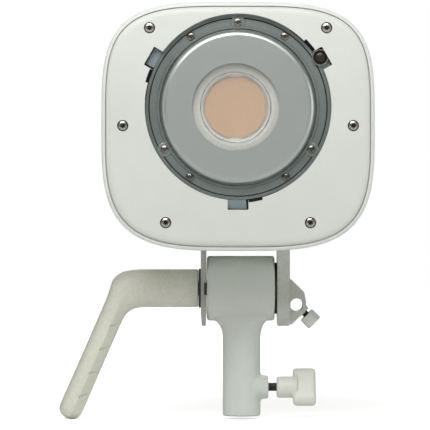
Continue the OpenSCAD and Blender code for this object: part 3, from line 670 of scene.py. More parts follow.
@dataclass(frozen=True)
class Finish:
    """A surface finish: its two near colours, relief, gloss, rubbed edges with a painted edge highlight, and painted
    shade in its corners.
    """

    name: str
    slot: str
    light: Colour
    dark: Colour
    gloss: tuple[float, float]
    grain: Grain = Grain.MOULDED
    metallic: float = 0.0
    patches: float = 22.0
    speckle: float = 0.3
    grains: float = 1500.0
    relief: float = 0.12
    # the colour of outer edges: rubbed wear and painted edge highlight
    wear: Colour | None = None
    wear_reach: float = 0.0004
    # how strongly painted shade darkens seams, recesses and inside corners
    dust: float = 0.25
    coat: float = 0.0
    centre: tuple[float, float, float] = (0.0, 0.0, 0.0)

    def material(self) -> bpy.types.Material:
        """The finish as a material, made once and shared."""
        made = bpy.data.materials.get(self.name)
        return made if made else self.built()

    def built(self) -> bpy.types.Material:
        """Builds the node tree: colour, then gloss, then relief."""
        tree = Tree(self.name)
        shader = tree.shader
        shader.inputs["Metallic"].default_value = self.metallic
        shader.inputs["Coat Weight"].default_value = self.coat
        patches = tree.noise(self.patches, 4.0, harshness=0.6)
        colour = tree.blend(tree.spread(patches, 0.3, 0.7, 0, 1), self.dark, self.light)
        speck = tree.noise(self.grains * 0.45, 1.0)
        pepper = tuple(c * (1 - self.speckle * 0.6) for c in self.dark)
        colour = tree.blend(tree.spread(speck, 0.44, 0.62, 0, self.speckle), colour, pepper)
        colour = self.worn(tree, colour)
        colour = self.dusted(tree, colour)
        tree.feed(shader.inputs["Base Color"], colour)
        smears = tree.noise(self.patches * 2.3, 5.0, harshness=0.7)
        tree.feed(shader.inputs["Roughness"], tree.spread(smears, 0.25, 0.75, *self.gloss))
        height = self.height(tree)
        bump = tree.add("Bump", {"Strength": self.relief, "Distance": 0.0004, "Height": height})
        tree.feed(shader.inputs["Normal"], bump.outputs[0])
        return tree.material

    def worn(self, tree: Tree, colour: bpy.types.NodeSocket) -> bpy.types.NodeSocket:
        """Lightens the outer edges in broken patches, as rubbed wear and as a painted edge highlight."""
        if self.wear is None:
            return colour
        # rubbed wear and painted edge highlight: the bevel normal finds the outer edges, which take the lighter edge
        # colour
        eased = tree.add("Bevel", {"Radius": self.wear_reach}, samples=4).outputs[0]
        facing = tree.add("VectorMath", operation="DOT_PRODUCT")
        tree.feed(facing.inputs[0], eased)
        tree.feed(facing.inputs[1], tree.add("NewGeometry").outputs["True Normal"])
        edge = tree.spread(facing.outputs["Value"], 0.8, 0.99, 1, 0)
        broken = tree.spread(tree.noise(self.patches * 14, 3.0), 0.42, 0.6, 0, 0.65)
        return tree.blend(tree.sum(edge, broken, "MULTIPLY"), colour, self.wear)

    def dusted(self, tree: Tree, colour: bpy.types.NodeSocket) -> bpy.types.NodeSocket:
        """Paints shade into seams, recesses and inside corners, darkening them by ambient occlusion."""
        if self.dust == 0:
            return colour
        # painted shade: ambient occlusion darkens the colour in seams, recesses and inside corners
        shade = tree.add("AmbientOcclusion", {"Distance": 0.0035}, samples=4).outputs["AO"]
        dirt = tree.spread(shade, 0.15, 0.85, self.dust, 0)
        grime = tuple(c * 0.35 for c in self.dark)
        return tree.blend(dirt, colour, grime)

    def height(self, tree: Tree) -> bpy.types.NodeSocket:
        """The relief that the way of making leaves."""
        fine = tree.noise(self.grains, 3.0)
        if self.grain is Grain.POWDERED:
            return tree.sum(fine, tree.noise(self.grains * 0.22, 2.0))
        if self.grain is Grain.BLASTED:
            pits = tree.add("TexVoronoi", {"Vector": tree.place, "Scale": self.grains}).outputs["Distance"]
            return tree.sum(pits, fine)
        if self.grain is Grain.BRUSHED:
            return tree.noise(self.grains, 3.0, tree.stretched((0.03, 1.0, 1.0)))
        if self.grain is Grain.TURNED:
            centred = tree.add("Mapping", {"Vector": tree.place, "Location": tuple(-c for c in self.centre)})
            apart = tree.add("SeparateXYZ", {"Vector": centred.outputs[0]})
            x, z = apart.outputs["X"], apart.outputs["Z"]
            radius = tree.sum(tree.sum(tree.sum(x, x, "MULTIPLY"), tree.sum(z, z, "MULTIPLY")), 0.5, "POWER")
            rings = tree.add("TexNoise", {"W": radius, "Scale": self.grains, "Detail": 2.0},
                             noise_dimensions="1D").outputs[0]
            return tree.sum(rings, tree.sum(fine, 0.5, "MULTIPLY"))
        return fine


@dataclass(frozen=True)
class PhosphorFinish(Finish):
    """The silicone-covered phosphor: warm, soft, with the faint grid of the chips below it."""

    chip: float = 0.0021

    def built(self) -> bpy.types.Material:
        """Adds the chips' grid and a soft gel depth to the plain finish."""
        tree = Tree.reopened(super().built())
        shader = tree.shader
        base = shader.inputs["Base Color"].links[0].from_socket
        turned = tree.add("Mapping", {"Vector": tree.place, "Rotation": (math.pi / 2, 0, 0)}).outputs[0]
        grid = tree.add("TexBrick", {"Vector": turned, "Scale": 1 / self.chip, "Color1": (1.0, 1.0, 1.0),
                                     "Color2": (0.97, 0.96, 0.95), "Mortar": (0.86, 0.84, 0.8),
                                     "Mortar Size": 0.07, "Brick Width": 1.0, "Row Height": 1.0},
                        offset=0.0).outputs["Color"]
        node = tree.blend(tree.spread(tree.noise(90, 2.0), 0, 1, 0.25, 0.5), base, grid, "MULTIPLY")
        tree.feed(shader.inputs["Base Color"], node)
        shader.inputs["Subsurface Weight"].default_value = 0.25
        shader.inputs["Subsurface Scale"].default_value = 0.002
        return tree.material


@dataclass(frozen=True)
class GlassFinish(Finish):
    """Clear glass with a faint film on it."""

    def built(self) -> bpy.types.Material:
        """Clear glass, its gloss broken by a faint film."""
        tree = Tree(self.name)
        shader = tree.shader
        shader.inputs["Alpha"].default_value = 0.12
        shader.inputs["IOR"].default_value = 1.5
        film = tree.noise(self.patches, 4.0)
        tree.feed(shader.inputs["Base Color"], tree.blend(film, self.dark, self.light))
        tree.feed(shader.inputs["Roughness"], tree.spread(film, 0.3, 0.7, *self.gloss))
        return tree.material


def linear(red: int, green: int, blue: int) -> Colour:
    """A colour from its three display values, 0 to 255."""
    parts = [c / 255 for c in (red, green, blue)]
    return tuple(c / 12.92 if c <= 0.04045 else ((c + 0.055) / 1.055) ** 2.4 for c in parts)


RING_METRES = tuple(Extent.of("reflector_cover").centre * MM)

# Each finish below sets a strength of painted shade for its seams and corners, and most set an edge colour for rubbed
# wear and painted edge highlight.
CASE = Finish("case_paint", "case_white", linear(240, 242, 236), linear(234, 237, 230), (0.38, 0.5),
              Grain.POWDERED, relief=0.06, wear=linear(248, 248, 244), dust=0.3, speckle=0.1)
PLATE = Finish("plate_paint", "plate_white", linear(234, 237, 230), linear(229, 232, 225), (0.4, 0.5),
               Grain.POWDERED, relief=0.05, wear=linear(248, 248, 245), dust=0.25, speckle=0.1)
FACE_SCREW = Finish("face_screw_steel", "bright_steel", linear(214, 210, 200), linear(182, 178, 168),
                    (0.18, 0.3),
                    Grain.SMOOTH, 0.9, relief=0.04, dust=0.95)
POCKET_FLOOR = Finish("pocket_alloy", "ring_grey", linear(172, 186, 192), linear(150, 165, 172), (0.35, 0.48),
                      Grain.BLASTED, 0.6, relief=0.08, dust=0.25)
PAD = Finish("pad_alloy", "ring_grey", linear(172, 179, 175), linear(152, 160, 156), (0.3, 0.4), Grain.SMOOTH,
             0.8,
             relief=0.04, wear=linear(214, 219, 215), dust=0.3)
# painted shade: a darker copy of the yoke paint for the left arm, which sits in the head's shadow
YOKE_SHADED = Finish("yoke_paint_thin", "metal_white", linear(192, 194, 185), linear(182, 184, 175),
                     (0.4, 0.52),
                     Grain.POWDERED, relief=0.07, wear=linear(224, 224, 216), dust=0.4)
CAP = Finish("cap_paint", "metal_white", linear(244, 246, 240), linear(236, 238, 232), (0.34, 0.46),
             relief=0.05,
             wear=linear(250, 250, 246), dust=0.25)
KNOB = Finish("knob_plastic", "grip_white", linear(242, 243, 233), linear(236, 237, 226), (0.32, 0.44),
              relief=0.05,
              wear=linear(248, 248, 241), dust=0.25, speckle=0.15)
CASTING = Finish("casting_paint", "metal_white", linear(229, 234, 226), linear(221, 226, 218), (0.4, 0.52),
                 Grain.POWDERED, relief=0.08, wear=linear(240, 242, 237), dust=0.3, speckle=0.15)
PIN = Finish("pin_steel", "black_steel", linear(92, 82, 70), linear(52, 46, 42), (0.28, 0.42), Grain.BLASTED,
             0.9,
             relief=0.1, wear=linear(168, 150, 128), dust=0.3)
KEY = Finish("key_plastic", "panel_dark", linear(92, 95, 98), linear(80, 83, 86), (0.38, 0.5), relief=0.1,
             dust=0.35)
MARK = Finish("pointer_paint", "case_white", linear(222, 224, 220), linear(208, 210, 206), (0.4, 0.5),
              relief=0.04,
              dust=0.2)
YOKE = Finish("yoke_paint", "metal_white", linear(222, 224, 214), linear(210, 213, 203), (0.36, 0.48),
              Grain.POWDERED, relief=0.07, wear=linear(236, 236, 228), dust=0.4)
GRIP = Finish("grip_plastic", "grip_white", linear(242, 243, 228), linear(235, 236, 220), (0.4, 0.52),
              Grain.MOULDED, relief=0.06, wear=linear(248, 248, 238), dust=0.3)
RING = Finish("ring_anodised", "ring_grey", linear(160, 168, 164), linear(140, 149, 146), (0.3, 0.42),
              Grain.TURNED, 0.8, grains=2400, relief=0.12, wear=linear(212, 217, 213), dust=0.25,
              centre=RING_METRES)
BEZEL = Finish("bezel_bright", "ring_grey", linear(206, 210, 206), linear(186, 192, 188), (0.22, 0.32),
               Grain.SMOOTH, 0.9, relief=0.04, dust=0.4)
COVER = Finish("cover_satin", "cover_satin", linear(170, 174, 166), linear(158, 162, 154), (0.36, 0.46),
               Grain.BLASTED, 0.85, grains=1500, relief=0.35, wear=linear(200, 204, 199), dust=0.3,
               speckle=0.85)
GLASS = GlassFinish("window_glass", "glass", (0.8, 0.82, 0.81), (0.74, 0.77, 0.76), (0.02, 0.07))
HOLDER = Finish("source_ceramic", "source_white", linear(243, 243, 236), linear(236, 237, 228), (0.4, 0.5),
                relief=0.05, dust=0.12)
PHOSPHOR = PhosphorFinish("phosphor_gel", "phosphor", linear(232, 190, 148), linear(226, 183, 140),
                          (0.3, 0.4),
                          relief=0.05, dust=0.05)
BLACK = Finish("black_plastic", "black_plastic", linear(38, 39, 41), linear(26, 27, 29), (0.42, 0.55),
               relief=0.12, wear=linear(80, 80, 82), dust=0.3)
RUBBER = Finish("black_rubber", "black_rubber", linear(26, 26, 27), linear(16, 16, 17), (0.6, 0.75),
                relief=0.18, grains=2600, dust=0.3)
# near-black: painted shade in the lug channels and the face screws' counterbores, and the black of the pin sleeve
POCKET = Finish("black_pocket", "black_steel", linear(12, 12, 13), linear(6, 6, 7), (0.6, 0.8), dust=0.3)
BLACK_STEEL = Finish("black_steel", "black_steel", linear(112, 109, 103), linear(72, 70, 67), (0.14, 0.26),
                     Grain.BLASTED, 0.85, relief=0.06, wear=linear(190, 182, 168), dust=0.5)
RING_SCREW = Finish("ring_screw_steel", "black_steel", linear(172, 167, 156), linear(118, 115, 108),
                    (0.16, 0.26),
                    Grain.SMOOTH, 0.9, relief=0.04, wear=linear(206, 200, 188), dust=0.9)
STEEL = Finish("bright_steel", "bright_steel", linear(190, 192, 188), linear(158, 160, 158), (0.2, 0.32),
               Grain.TURNED, 0.95, grains=2600, relief=0.06, wear=linear(225, 226, 222), dust=0.5)
BRASS = Finish("brass", "brass", linear(205, 174, 104), linear(178, 146, 82), (0.25, 0.38), Grain.BRUSHED,
               0.95,
               relief=0.08, dust=0.4)
COPPER = Finish("copper", "copper", linear(205, 128, 88), linear(172, 98, 66), (0.28, 0.4), Grain.BRUSHED,
                0.95,
                relief=0.08, dust=0.35)
SINK = Finish("sink_alloy", "sink_alloy", linear(168, 172, 172), linear(146, 150, 151), (0.34, 0.46),
              Grain.BRUSHED, 0.9, relief=0.12, dust=0.4)
FRAME_ALLOY = Finish("frame_alloy", "frame_alloy", linear(158, 162, 161), linear(140, 145, 144), (0.36, 0.5),
                     Grain.BRUSHED, 0.9, relief=0.1, dust=0.35)
BOARD_METAL = Finish("board_metal", "board_metal", linear(208, 211, 206), linear(190, 194, 189), (0.35, 0.5),
                     Grain.SMOOTH, 0.6, relief=0.06)
BOARD = Finish("circuit_board", "board_green", linear(46, 104, 66), linear(28, 78, 48), (0.25, 0.45),
               Grain.MOULDED, patches=160, relief=0.15, coat=0.3)
PARTS = Finish("circuit_parts", "parts_dark", linear(62, 66, 74), linear(40, 43, 50), (0.35, 0.5), patches=60,
               relief=0.1)
PANEL = Finish("panel_plastic", "panel_dark", linear(62, 64, 66), linear(50, 52, 54), (0.45, 0.58),
               relief=0.14, wear=linear(92, 94, 96), dust=0.35)
SCREEN = Finish("display_glass", "display_black", linear(16, 18, 22), linear(9, 10, 13), (0.05, 0.14),
                Grain.SMOOTH, relief=0.02, dust=0.2, coat=0.6)
ROCKER = Finish("rocker_plastic", "rocker_black", linear(64, 22, 22), linear(46, 14, 14), (0.22, 0.36),
                relief=0.05, dust=0.35, coat=0.2)


# Shared shapes ---------------------------------------------------------------------------------------


@dataclass(frozen=True)
class Datum:
    """Places that several sub-assemblies share, in millimetres, all read from the CAD nodes."""

    plate: Extent
    cover: Extent
    case: Extent
    seam: float
    panel: Extent

    @classmethod
    def read(cls) -> "Datum":
        """Reads the places from the frame."""
        return cls(Extent.of("front_plate"), Extent.of("reflector_cover"),
                   Extent.of("upper_shell", "lower_shell"),
                   Extent.of("upper_shell").low.z, Extent.of("rear_panel"))

    @property
    def face(self) -> float:
        """Where the front plate's face stands."""
        return self.plate.low.y

    @property
    def head(self) -> Point:
        """The middle of the head, seen from the front."""
        return self.case.centre.x, self.case.centre.z

    @property
    def ring(self) -> Point:
        """The bayonet's centre, seen from the front."""
        return self.cover.centre.x, self.cover.centre.z

    def round_ring(self, radius: float, angle: float) -> Point:
        """A point at a radius and angle round the bayonet."""
        a = math.radians(angle)
        return self.ring[0] + radius * math.cos(a), self.ring[1] + radius * math.sin(a)


AT = Datum.read()
LUG_ANGLES = (30.0, 150.0, 270.0)


def rounded_square(width: float, height: float, centre: Point, inset: float = 0.0, steps: int = 192,
                   above: float = 3.8, below: float = 3.5) -> list[Point]:
    """The head's outline: a squared circle, fuller above than below.

    Args:
        width: Width of the full outline.
        height: Height of the full outline.
        centre: Its centre.
        inset: How far inside the full outline to run, the same all the way round.
        steps: How many points it has.
        above: How square its upper half is, 2 for round.
        below: How square its lower half is.

    Returns:
        The outline's points.
    """
    full = []
    for i in range(steps):
        a = FULL_TURN * i / steps
        power = above if math.sin(a) >= 0 else below
        full.append(Vector((width / 2 * squared(math.cos(a), power),
                            height / 2 * squared(math.sin(a), power))))
    made = []
    for i, here in enumerate(full):
        along = (full[(i + 1) % steps] - full[i - 1]).normalized()
        made.append((centre[0] + here.x - along.y * inset, centre[1] + here.y + along.x * inset))
    return made


@dataclass(frozen=True)
class ScrewHead:
    """A domed screw head with a six-lobe socket."""

    radius: float
    height: float
    socket: float
    dome: float = 0.5

    def modelled(self, facing: float = 1.0) -> bpy.types.Object:
        """The head, its top at the origin and its shank side along Y.

        Args:
            facing: 1 where the head looks to -Y, and -1 where it looks to +Y.

        Returns:
            The head.
        """
        r, h = self.radius, self.height
        edge = 1.1
        crown = [(r * math.sin(a) / math.sin(edge) * 0.96,
                  self.dome * (1 - math.cos(a)) / (1 - math.cos(edge)))
                 for a in (0.25, 0.5, 0.75, 0.95, edge)]
        profile = [(0.0, 0.0), *crown, (r, self.dome + 0.12 * r), (r, h), (0.0, h)]
        head = Bench.lathe(profile, Axis.Y, (0, 0, 0), 40)
        lobes = []
        for i in range(48):
            a = FULL_TURN * i / 48
            reach = self.socket * (1 + 0.2 * math.cos(6 * a))
            lobes.append((reach * math.cos(a), reach * math.sin(a)))
        Bench.cut(head, Bench.prism(lobes, Axis.Y, -1, h * 0.62))
        Bench.softened(head, 0.08, 2, 50)
        return head if facing > 0 else Bench.moved(head, Matrix.Rotation(math.pi, 4, "Z"))


@dataclass(frozen=True)
class Threaded:
    """A threaded stud, its thread turned as close rings."""

    radius: float
    start: float
    end: float
    pitch: float = 1.0

    def modelled(self, axis: Axis, at: Iterable[float], lean: Matrix | None = None) -> bpy.types.Object:
        """The stud along an axis."""
        deep = self.radius - self.pitch * 0.45
        count = int((self.end - self.start - 1) / self.pitch)
        teeth = []
        for i in range(count):
            base = self.start + 0.5 + i * self.pitch
            teeth += [(deep, base), (self.radius, base + self.pitch * 0.4),
                      (self.radius, base + self.pitch * 0.55),
                      (deep, base + self.pitch * 0.95)]
        profile = [(0.0, self.start), (deep - 0.3, self.start), *teeth, (deep, self.end), (0.0, self.end)]
        return Bench.lathe(profile, axis, at, 40, lean)


# Sub-assemblies --------------------------------------------------------------------------------------


@dataclass(frozen=True)
class Case:
    """The two case shells, the front plate between their rims and the plate's screws."""

    wall: float = 2.4
    rear_scale: float = 0.9
    seam_gap: float = 0.12
    vent_count: int = 13
    vent_pitch: float = 8.0
    vent_width: float = 3.2
    vent_start: float = -34.0
    screw: ScrewHead = ScrewHead(3.1, 1.75, 1.55, 0.5)
    counterbore: float = 3.7
    mouth: float = 60.8
    notch_reach: float = 66.9
    notch_half: float = 6.8
    slot_slack: float = 0.5
    screw_places: tuple[Point, ...] = ((-57.6, 64.3), (57.6, 64.3), (-75.0, 0.6), (75.0, 0.6),
                                       (-47.1, -62.5), (47.1, -62.5))

    def ring(self, inset: float, y: float) -> bpy.types.Object:
        """One station of the case, inset from the full outline at its depth."""
        size = AT.case.size
        share = 1 - (1 - self.rear_scale) * (y - AT.case.low.y) / size.y
        points = rounded_square(size.x * share, size.z * share, AT.head, inset)
        return Bench.outline(points, Axis.Y.place(y))

    def tube(self) -> bpy.types.Object:
        """The whole case as a closed-wall tube, its rims rolled at both ends."""
        front, rear = AT.case.low.y, AT.case.high.y
        outside = [(1.7, front), (0.9, front + 0.15), (0.3, front + 0.6), (0.0, front + 1.4),
                   (0.0, front + 40),
                   (0.0, front + 85), (0.0, front + 130), (0.0, rear - 1.2), (0.35, rear - 0.4), (1.0, rear)]
        inside = [(self.wall, rear), (self.wall, front + 85), (self.wall, front)]
        stations = outside + inside + outside[:1]
        tube = Bench.loft([self.ring(*station) for station in stations], capped=False)
        with Bench.editing(tube):
            bpy.ops.mesh.remove_doubles(threshold=0.001)
        return Bench.righted(tube)

    def half(self, above: bool) -> bpy.types.Object:
        """The case cut at its seam, keeping the part above or below."""
        half = self.tube()
        level = AT.seam + (self.seam_gap if above else -self.seam_gap) / 2
        with Bench.editing(half):
            bpy.ops.mesh.bisect(plane_co=(0, 0, level), plane_no=(0, 0, 1), use_fill=True,
                                clear_inner=above, clear_outer=not above)
        return Bench.righted(half)

    def vents(self, low: float, high: float) -> bpy.types.Object:
        """A row of upright slots that passes through both flanks."""
        middle = AT.head[1]
        slot = rectangle((0, middle + low), (self.vent_width, middle + high), self.vent_width / 2, 6)
        reach = AT.case.size.x / 2 + 5
        cutter = Bench.prism(slot, Axis.X, AT.head[0] - reach, AT.head[0] + reach)
        places = [Matrix.Translation((0, self.vent_start + i * self.vent_pitch, 0))
                  for i in range(self.vent_count)]
        return Bench.joined(Bench.copies(cutter, places))

    def shells(self) -> None:
        """Both shells, with their vents, the slide's window and the yoke's two slots."""
        upper = Bench.cut(self.half(True), self.vents(14, 44))
        slide = Extent.of("release_slider")
        window = rectangle((-57.0, slide.centre.z - 4.5), (-37.5, slide.centre.z + 4.5), 1.2)
        Bench.cut(upper, Bench.prism(window, Axis.X, AT.head[0] + 60, AT.case.high.x + 5))
        Bench.softened(upper, 0.35, 2)
        Bench.handed_over(upper, "case_upper", CASE, "lamp_head", ["upper_shell"], 32)
        lower = Bench.cut(self.half(False), self.vents(-42, -12))
        yoke, slack = Yoke(), self.slot_slack
        for box, start, end in yoke.arms():
            slot = rectangle((start - slack, box.low.y - slack), (end + slack, box.high.y + slack), 1.0)
            Bench.cut(lower, Bench.prism(slot, Axis.Z, AT.case.low.z - 5, box.high.z - yoke.foot))
        Bench.softened(lower, 0.35, 2)
        Bench.handed_over(lower, "case_lower", CASE, "lamp_head", ["lower_shell"], 32)

    def plate(self) -> None:
        """The front plate with its rolled edge, mouth, lug notches, arc slots and counterbores."""
        size, face, gap = AT.case.size, AT.face, (AT.case.size.x - AT.plate.size.x) / 2 - 0.1
        stations = ((5.2, 0.0), (3.6, 0.12), (2.2, 0.42), (1.1, 0.95), (0.35, 1.75), (0.0, 2.6), (0.0, 3.0))
        plate = Bench.loft([Bench.outline(rounded_square(size.x, size.z, AT.head, gap + i),
                                          Axis.Y.place(face + d)) for i, d in stations])
        front, back = face - 2, face + 5
        tools = [Bench.prism(circle(self.mouth, 144, AT.ring), Axis.Y, front, back)]
        for angle in LUG_ANGLES:
            notch = Bench.prism(rectangle((40, -self.notch_half), (self.notch_reach, self.notch_half), 0.7),
                                Axis.Y, front, back)
            turn = Matrix.Translation((AT.ring[0], 0, AT.ring[1])) @ Matrix.Rotation(-math.radians(angle), 4,
                                                                                     "Y")
            tools.append(Bench.moved(notch, turn))
            tools.append(Bench.prism(sector(58, 62.5, angle + 6.5, angle + 15, AT.ring), Axis.Y, front, back))
        for x, z in self.screw_places:
            place = (AT.head[0] + x, AT.head[1] + z)
            tools.append(Bench.prism(circle(self.counterbore, 40, place), Axis.Y, front, face + 1.8))
        Bench.cut(plate, *tools)
        Bench.softened(plate, 0.3, 3, 45)
        Bench.handed_over(plate, "front_face", PLATE, "lamp_head", ["front_plate"], 32)

    def screws(self) -> None:
        """The six screws that hold the plate, and painted shade in their counterbores."""
        places = [Matrix.Translation((AT.head[0] + x, AT.face + 0.1, AT.head[1] + z)) @
                  Matrix.Rotation(math.radians(17 * x), 4, "Y") for x, z in self.screw_places]
        heads = Bench.joined(Bench.copies(self.screw.modelled(), places))
        Bench.handed_over(heads, "face_screws", FACE_SCREW, "lamp_head", ["front_screws"], 40)
        # painted shade: a near-black ring and floor in each counterbore, for the dark gap round each head
        liner = Bench.lathe([(2.6, 1.0), (3.15, 0.7), (3.5, 0.55), (self.counterbore - 0.02, 0.75),
                             (self.counterbore - 0.02, 1.75), (2.6, 1.75)], Axis.Y, (0, 0, 0), 40)
        floor = Bench.lathe([(0.0, 0.95), (1.95, 0.95), (1.95, 1.6), (0.0, 1.6)], Axis.Y, (0, 0, 0), 24)
        rings = Bench.copies(Bench.joined([liner, floor]), places)
        Bench.handed_over(Bench.joined(rings), "face_screw_seats", POCKET, "lamp_head")

    def build(self) -> None:
        """Builds and dresses the case."""
        self.shells()
        self.plate()
        self.screws()


@dataclass(frozen=True)
class Bayonet:
    """The three-lug accessory ring, its pads and screws, and the spring lock pin in its bezel."""

    notches: tuple[float, ...] = LUG_ANGLES
    pads: tuple[float, ...] = (90.0, 210.0, 330.0)
    plain: tuple[float, ...] = (56.5, 123.7, 235.7, 304.5)
    screw_orbit: float = 55.3
    seat: float = 6.0
    screw: ScrewHead = ScrewHead(2.7, 1.5, 1.25, 0.5)
    pin_radius: float = 3.4
    pin_travel: float = 5.0
    collar_radius: float = 5.4
    coil_wire: float = 0.45
    coil_turns: int = 5

    def turned(self, profile: Sequence[Point], name: str, finish: Finish,
               replaces: Sequence[str] = ()) -> None:
        """A plain turned ring on the bayonet's axis, its profile measured from the plate's face."""
        ring = Bench.lathe(profile, Axis.Y, (AT.ring[0], AT.face, AT.ring[1]), 160)
        Bench.handed_over(ring, name, finish, "lamp_head", replaces)

    def body(self) -> None:
        """The ring itself: flange, groove, band and inner rim, with its channels and counterbores."""
        profile = [(69.5, 10.0), (69.5, 3.1), (60.4, 3.1), (60.25, 3.25), (60.25, 5.05), (60.1, 5.2),
                   (58.6, 5.2),
                   (58.45, 5.35), (58.3, 6.8), (57.7, 6.8), (57.65, 6.1), (57.45, 6.0), (53.0, 6.0),
                   (52.85, 4.85), (52.55, 4.6), (51.4, 4.6), (51.0, 5.0), (51.0, 10.0)]
        face = AT.face
        ring = Bench.lathe(profile, Axis.Y, (AT.ring[0], face, AT.ring[1]), 160)
        tools = [Bench.prism(sector(60.2, 67.4, a - 7, a + 26, AT.ring, 16), Axis.Y, face + 2,
                             face + self.seat)
                 for a in self.notches]
        tools += [Bench.prism(circle(self.screw.radius + 0.3, 32, AT.round_ring(self.screw_orbit, a)), Axis.Y,
                              face + 5, face + 7) for a in self.plain]
        pin = Extent.of("lock_pin").centre
        tools.append(Bench.prism(circle(4.5, 40, (pin.x, pin.z)), Axis.Y, face, face + 11))
        top = Extent.of("bayonet_ring").high.z
        reach = AT.ring[0] - 80, AT.ring[0] + 80
        tools.append(Bench.prism([(reach[0], top), (reach[1], top), (reach[1], top + 9), (reach[0], top + 9)],
                                 Axis.Y, face, face + 12))
        Bench.cut(ring, *tools)
        Bench.softened(ring, 0.15, 2, 50)
        Bench.handed_over(ring, "bayonet_body", RING, "lamp_head", ["bayonet_ring"], 32)

    def channels(self) -> None:
        """The lug pockets' floors, and near-black sheets of painted shade in the channels that the lugs turn onto."""
        face = AT.face
        floors, liners = [], []
        for a in self.notches:
            floors.append(Bench.prism(sector(60.6, 67.2, a - 6.6, a + 4.9, AT.ring, 12), Axis.Y,
                                      face + 5.75, face + 6.1))
            # painted shade: near-black sheets where the channels lie in shade
            liners.append(Bench.prism(sector(60.3, 67.3, a + 4.9, a + 25.8, AT.ring, 18), Axis.Y,
                                      face + 5.3, face + 6.1))
            liners.append(Bench.prism(sector(66.4, 67.35, a - 6.9, a + 25.8, AT.ring, 24), Axis.Y,
                                      face + 3.2, face + 6.1))
        pockets = Bench.softened(Bench.joined(floors), 0.12, 2)
        Bench.handed_over(pockets, "lug_pockets", POCKET_FLOOR, "lamp_head")
        Bench.handed_over(Bench.joined(liners), "lug_liners", POCKET, "lamp_head")

    def dark_groove(self) -> None:
        """A near-black cord laid in the groove round the band, as painted shade for the groove's dark line."""
        self.turned([(58.5, 6.9), (58.5, 6.05), (58.35, 5.8), (57.8, 5.8), (57.6, 6.2), (57.6, 6.9)],
                    "groove_cord", RUBBER)

    def raised(self) -> None:
        """The three pads, and the bright bezel round the lock pin."""
        pad = Bench.lathe([(1.4, 1.2), (1.4, 0.3), (1.55, 0.0), (4.1, 0.0), (4.45, 0.12), (4.6, 0.45),
                           (4.6, 1.2)],
                          Axis.Y, (0, 0, 0), 48)
        spots = [AT.round_ring(self.screw_orbit, a) for a in self.pads]
        pads = Bench.copies(pad, [Matrix.Translation((x, AT.face + 4.95, z)) for x, z in spots])
        Bench.handed_over(Bench.joined(pads), "bayonet_pads", PAD, "lamp_head")
        pin = Extent.of("lock_pin").centre
        bezel = Bench.lathe([(4.55, 6.1), (4.55, 3.3), (4.75, 3.0), (5.2, 2.95), (5.5, 3.3), (5.5, 6.1)],
                            Axis.Y,
                            (pin.x, AT.face, pin.z), 56)
        Bench.handed_over(bezel, "pin_bezel", BEZEL, "lamp_head")
        bush = Bench.lathe([(3.46, 16.0), (3.46, 3.1), (3.6, 2.9), (4.3, 2.9), (4.48, 3.1), (4.48, 16.0)],
                           Axis.Y,
                           (pin.x, AT.face, pin.z), 48)
        Bench.handed_over(bush, "pin_sleeve", POCKET, "lamp_head", ["pin_bush"])

    def screws(self) -> None:
        """Dark steel screws, on the pads and in the band's counterbores."""
        places = []
        for depth, angles in ((self.seat - 2.4, self.pads), (self.seat - 0.55, self.plain)):
            for a in angles:
                x, z = AT.round_ring(self.screw_orbit, a)
                places.append(Matrix.Translation((x, AT.face + depth, z)) @
                              Matrix.Rotation(math.radians(a * 3), 4, "Y"))
        heads = Bench.joined(Bench.copies(self.screw.modelled(), places))
        Bench.handed_over(heads, "ring_screws", RING_SCREW, "lamp_head", ["bayonet_screws"], 40)

    def pin(self) -> None:
        """The lock pin, domed at its end, its edges lightened as rubbed wear and painted highlight."""
        box = Extent.of("lock_pin")
        r, wide, length = self.pin_radius, self.collar_radius, box.size.y
        dome = [(r * math.sin(t), 0.9 * (1 - math.cos(t))) for t in (0.0, 0.35, 0.7, 1.0, 1.25)]
        collar = length - 10.0
        profile = [*dome, (r, 1.0), (r, collar), (wide, collar), (wide, collar + 1.8), (r, collar + 1.8),
                   (r, length), (0.0, length)]
        pin = Bench.lathe(profile, Axis.Y, (box.centre.x, box.low.y, box.centre.z), 48)
        Bench.handed_over(pin, "lock_pin_core", PIN, "bayonet_release", ["lock_pin"])

    def spring(self) -> None:
        """The coil behind the pin's collar, which shortens towards its fixed end as the pin goes back."""
        box = Extent.of("pin_spring")
        wire, steps = self.coil_wire, 20
        count = self.coil_turns * steps
        coil = box.size.x / 2 - 0.5
        start, end = box.low.y + wire, box.high.y - wire
        rings = []
        for i in range(count + 1):
            out = Vector((math.cos(FULL_TURN * i / steps), 0.0, math.sin(FULL_TURN * i / steps)))
            middle = Vector((box.centre.x, start + (end - start) * i / count, box.centre.z)) + out * coil
            rings.append(Bench.outline([(middle.x + out.x * u, middle.y + v, middle.z + out.z * u)
                                        for u, v in circle(wire, 10)], Vector))
        made = Bench.handed_over(Bench.loft(rings), "pin_coil", STEEL, "lamp_head", ["pin_spring"], 60)
        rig.squash(made, "pin_release", axis=(0, 1, 0),
                  anchor=tuple(Vector((box.centre.x, box.high.y, box.centre.z)) * MM),
                  keep=1 - self.pin_travel / box.size.y)

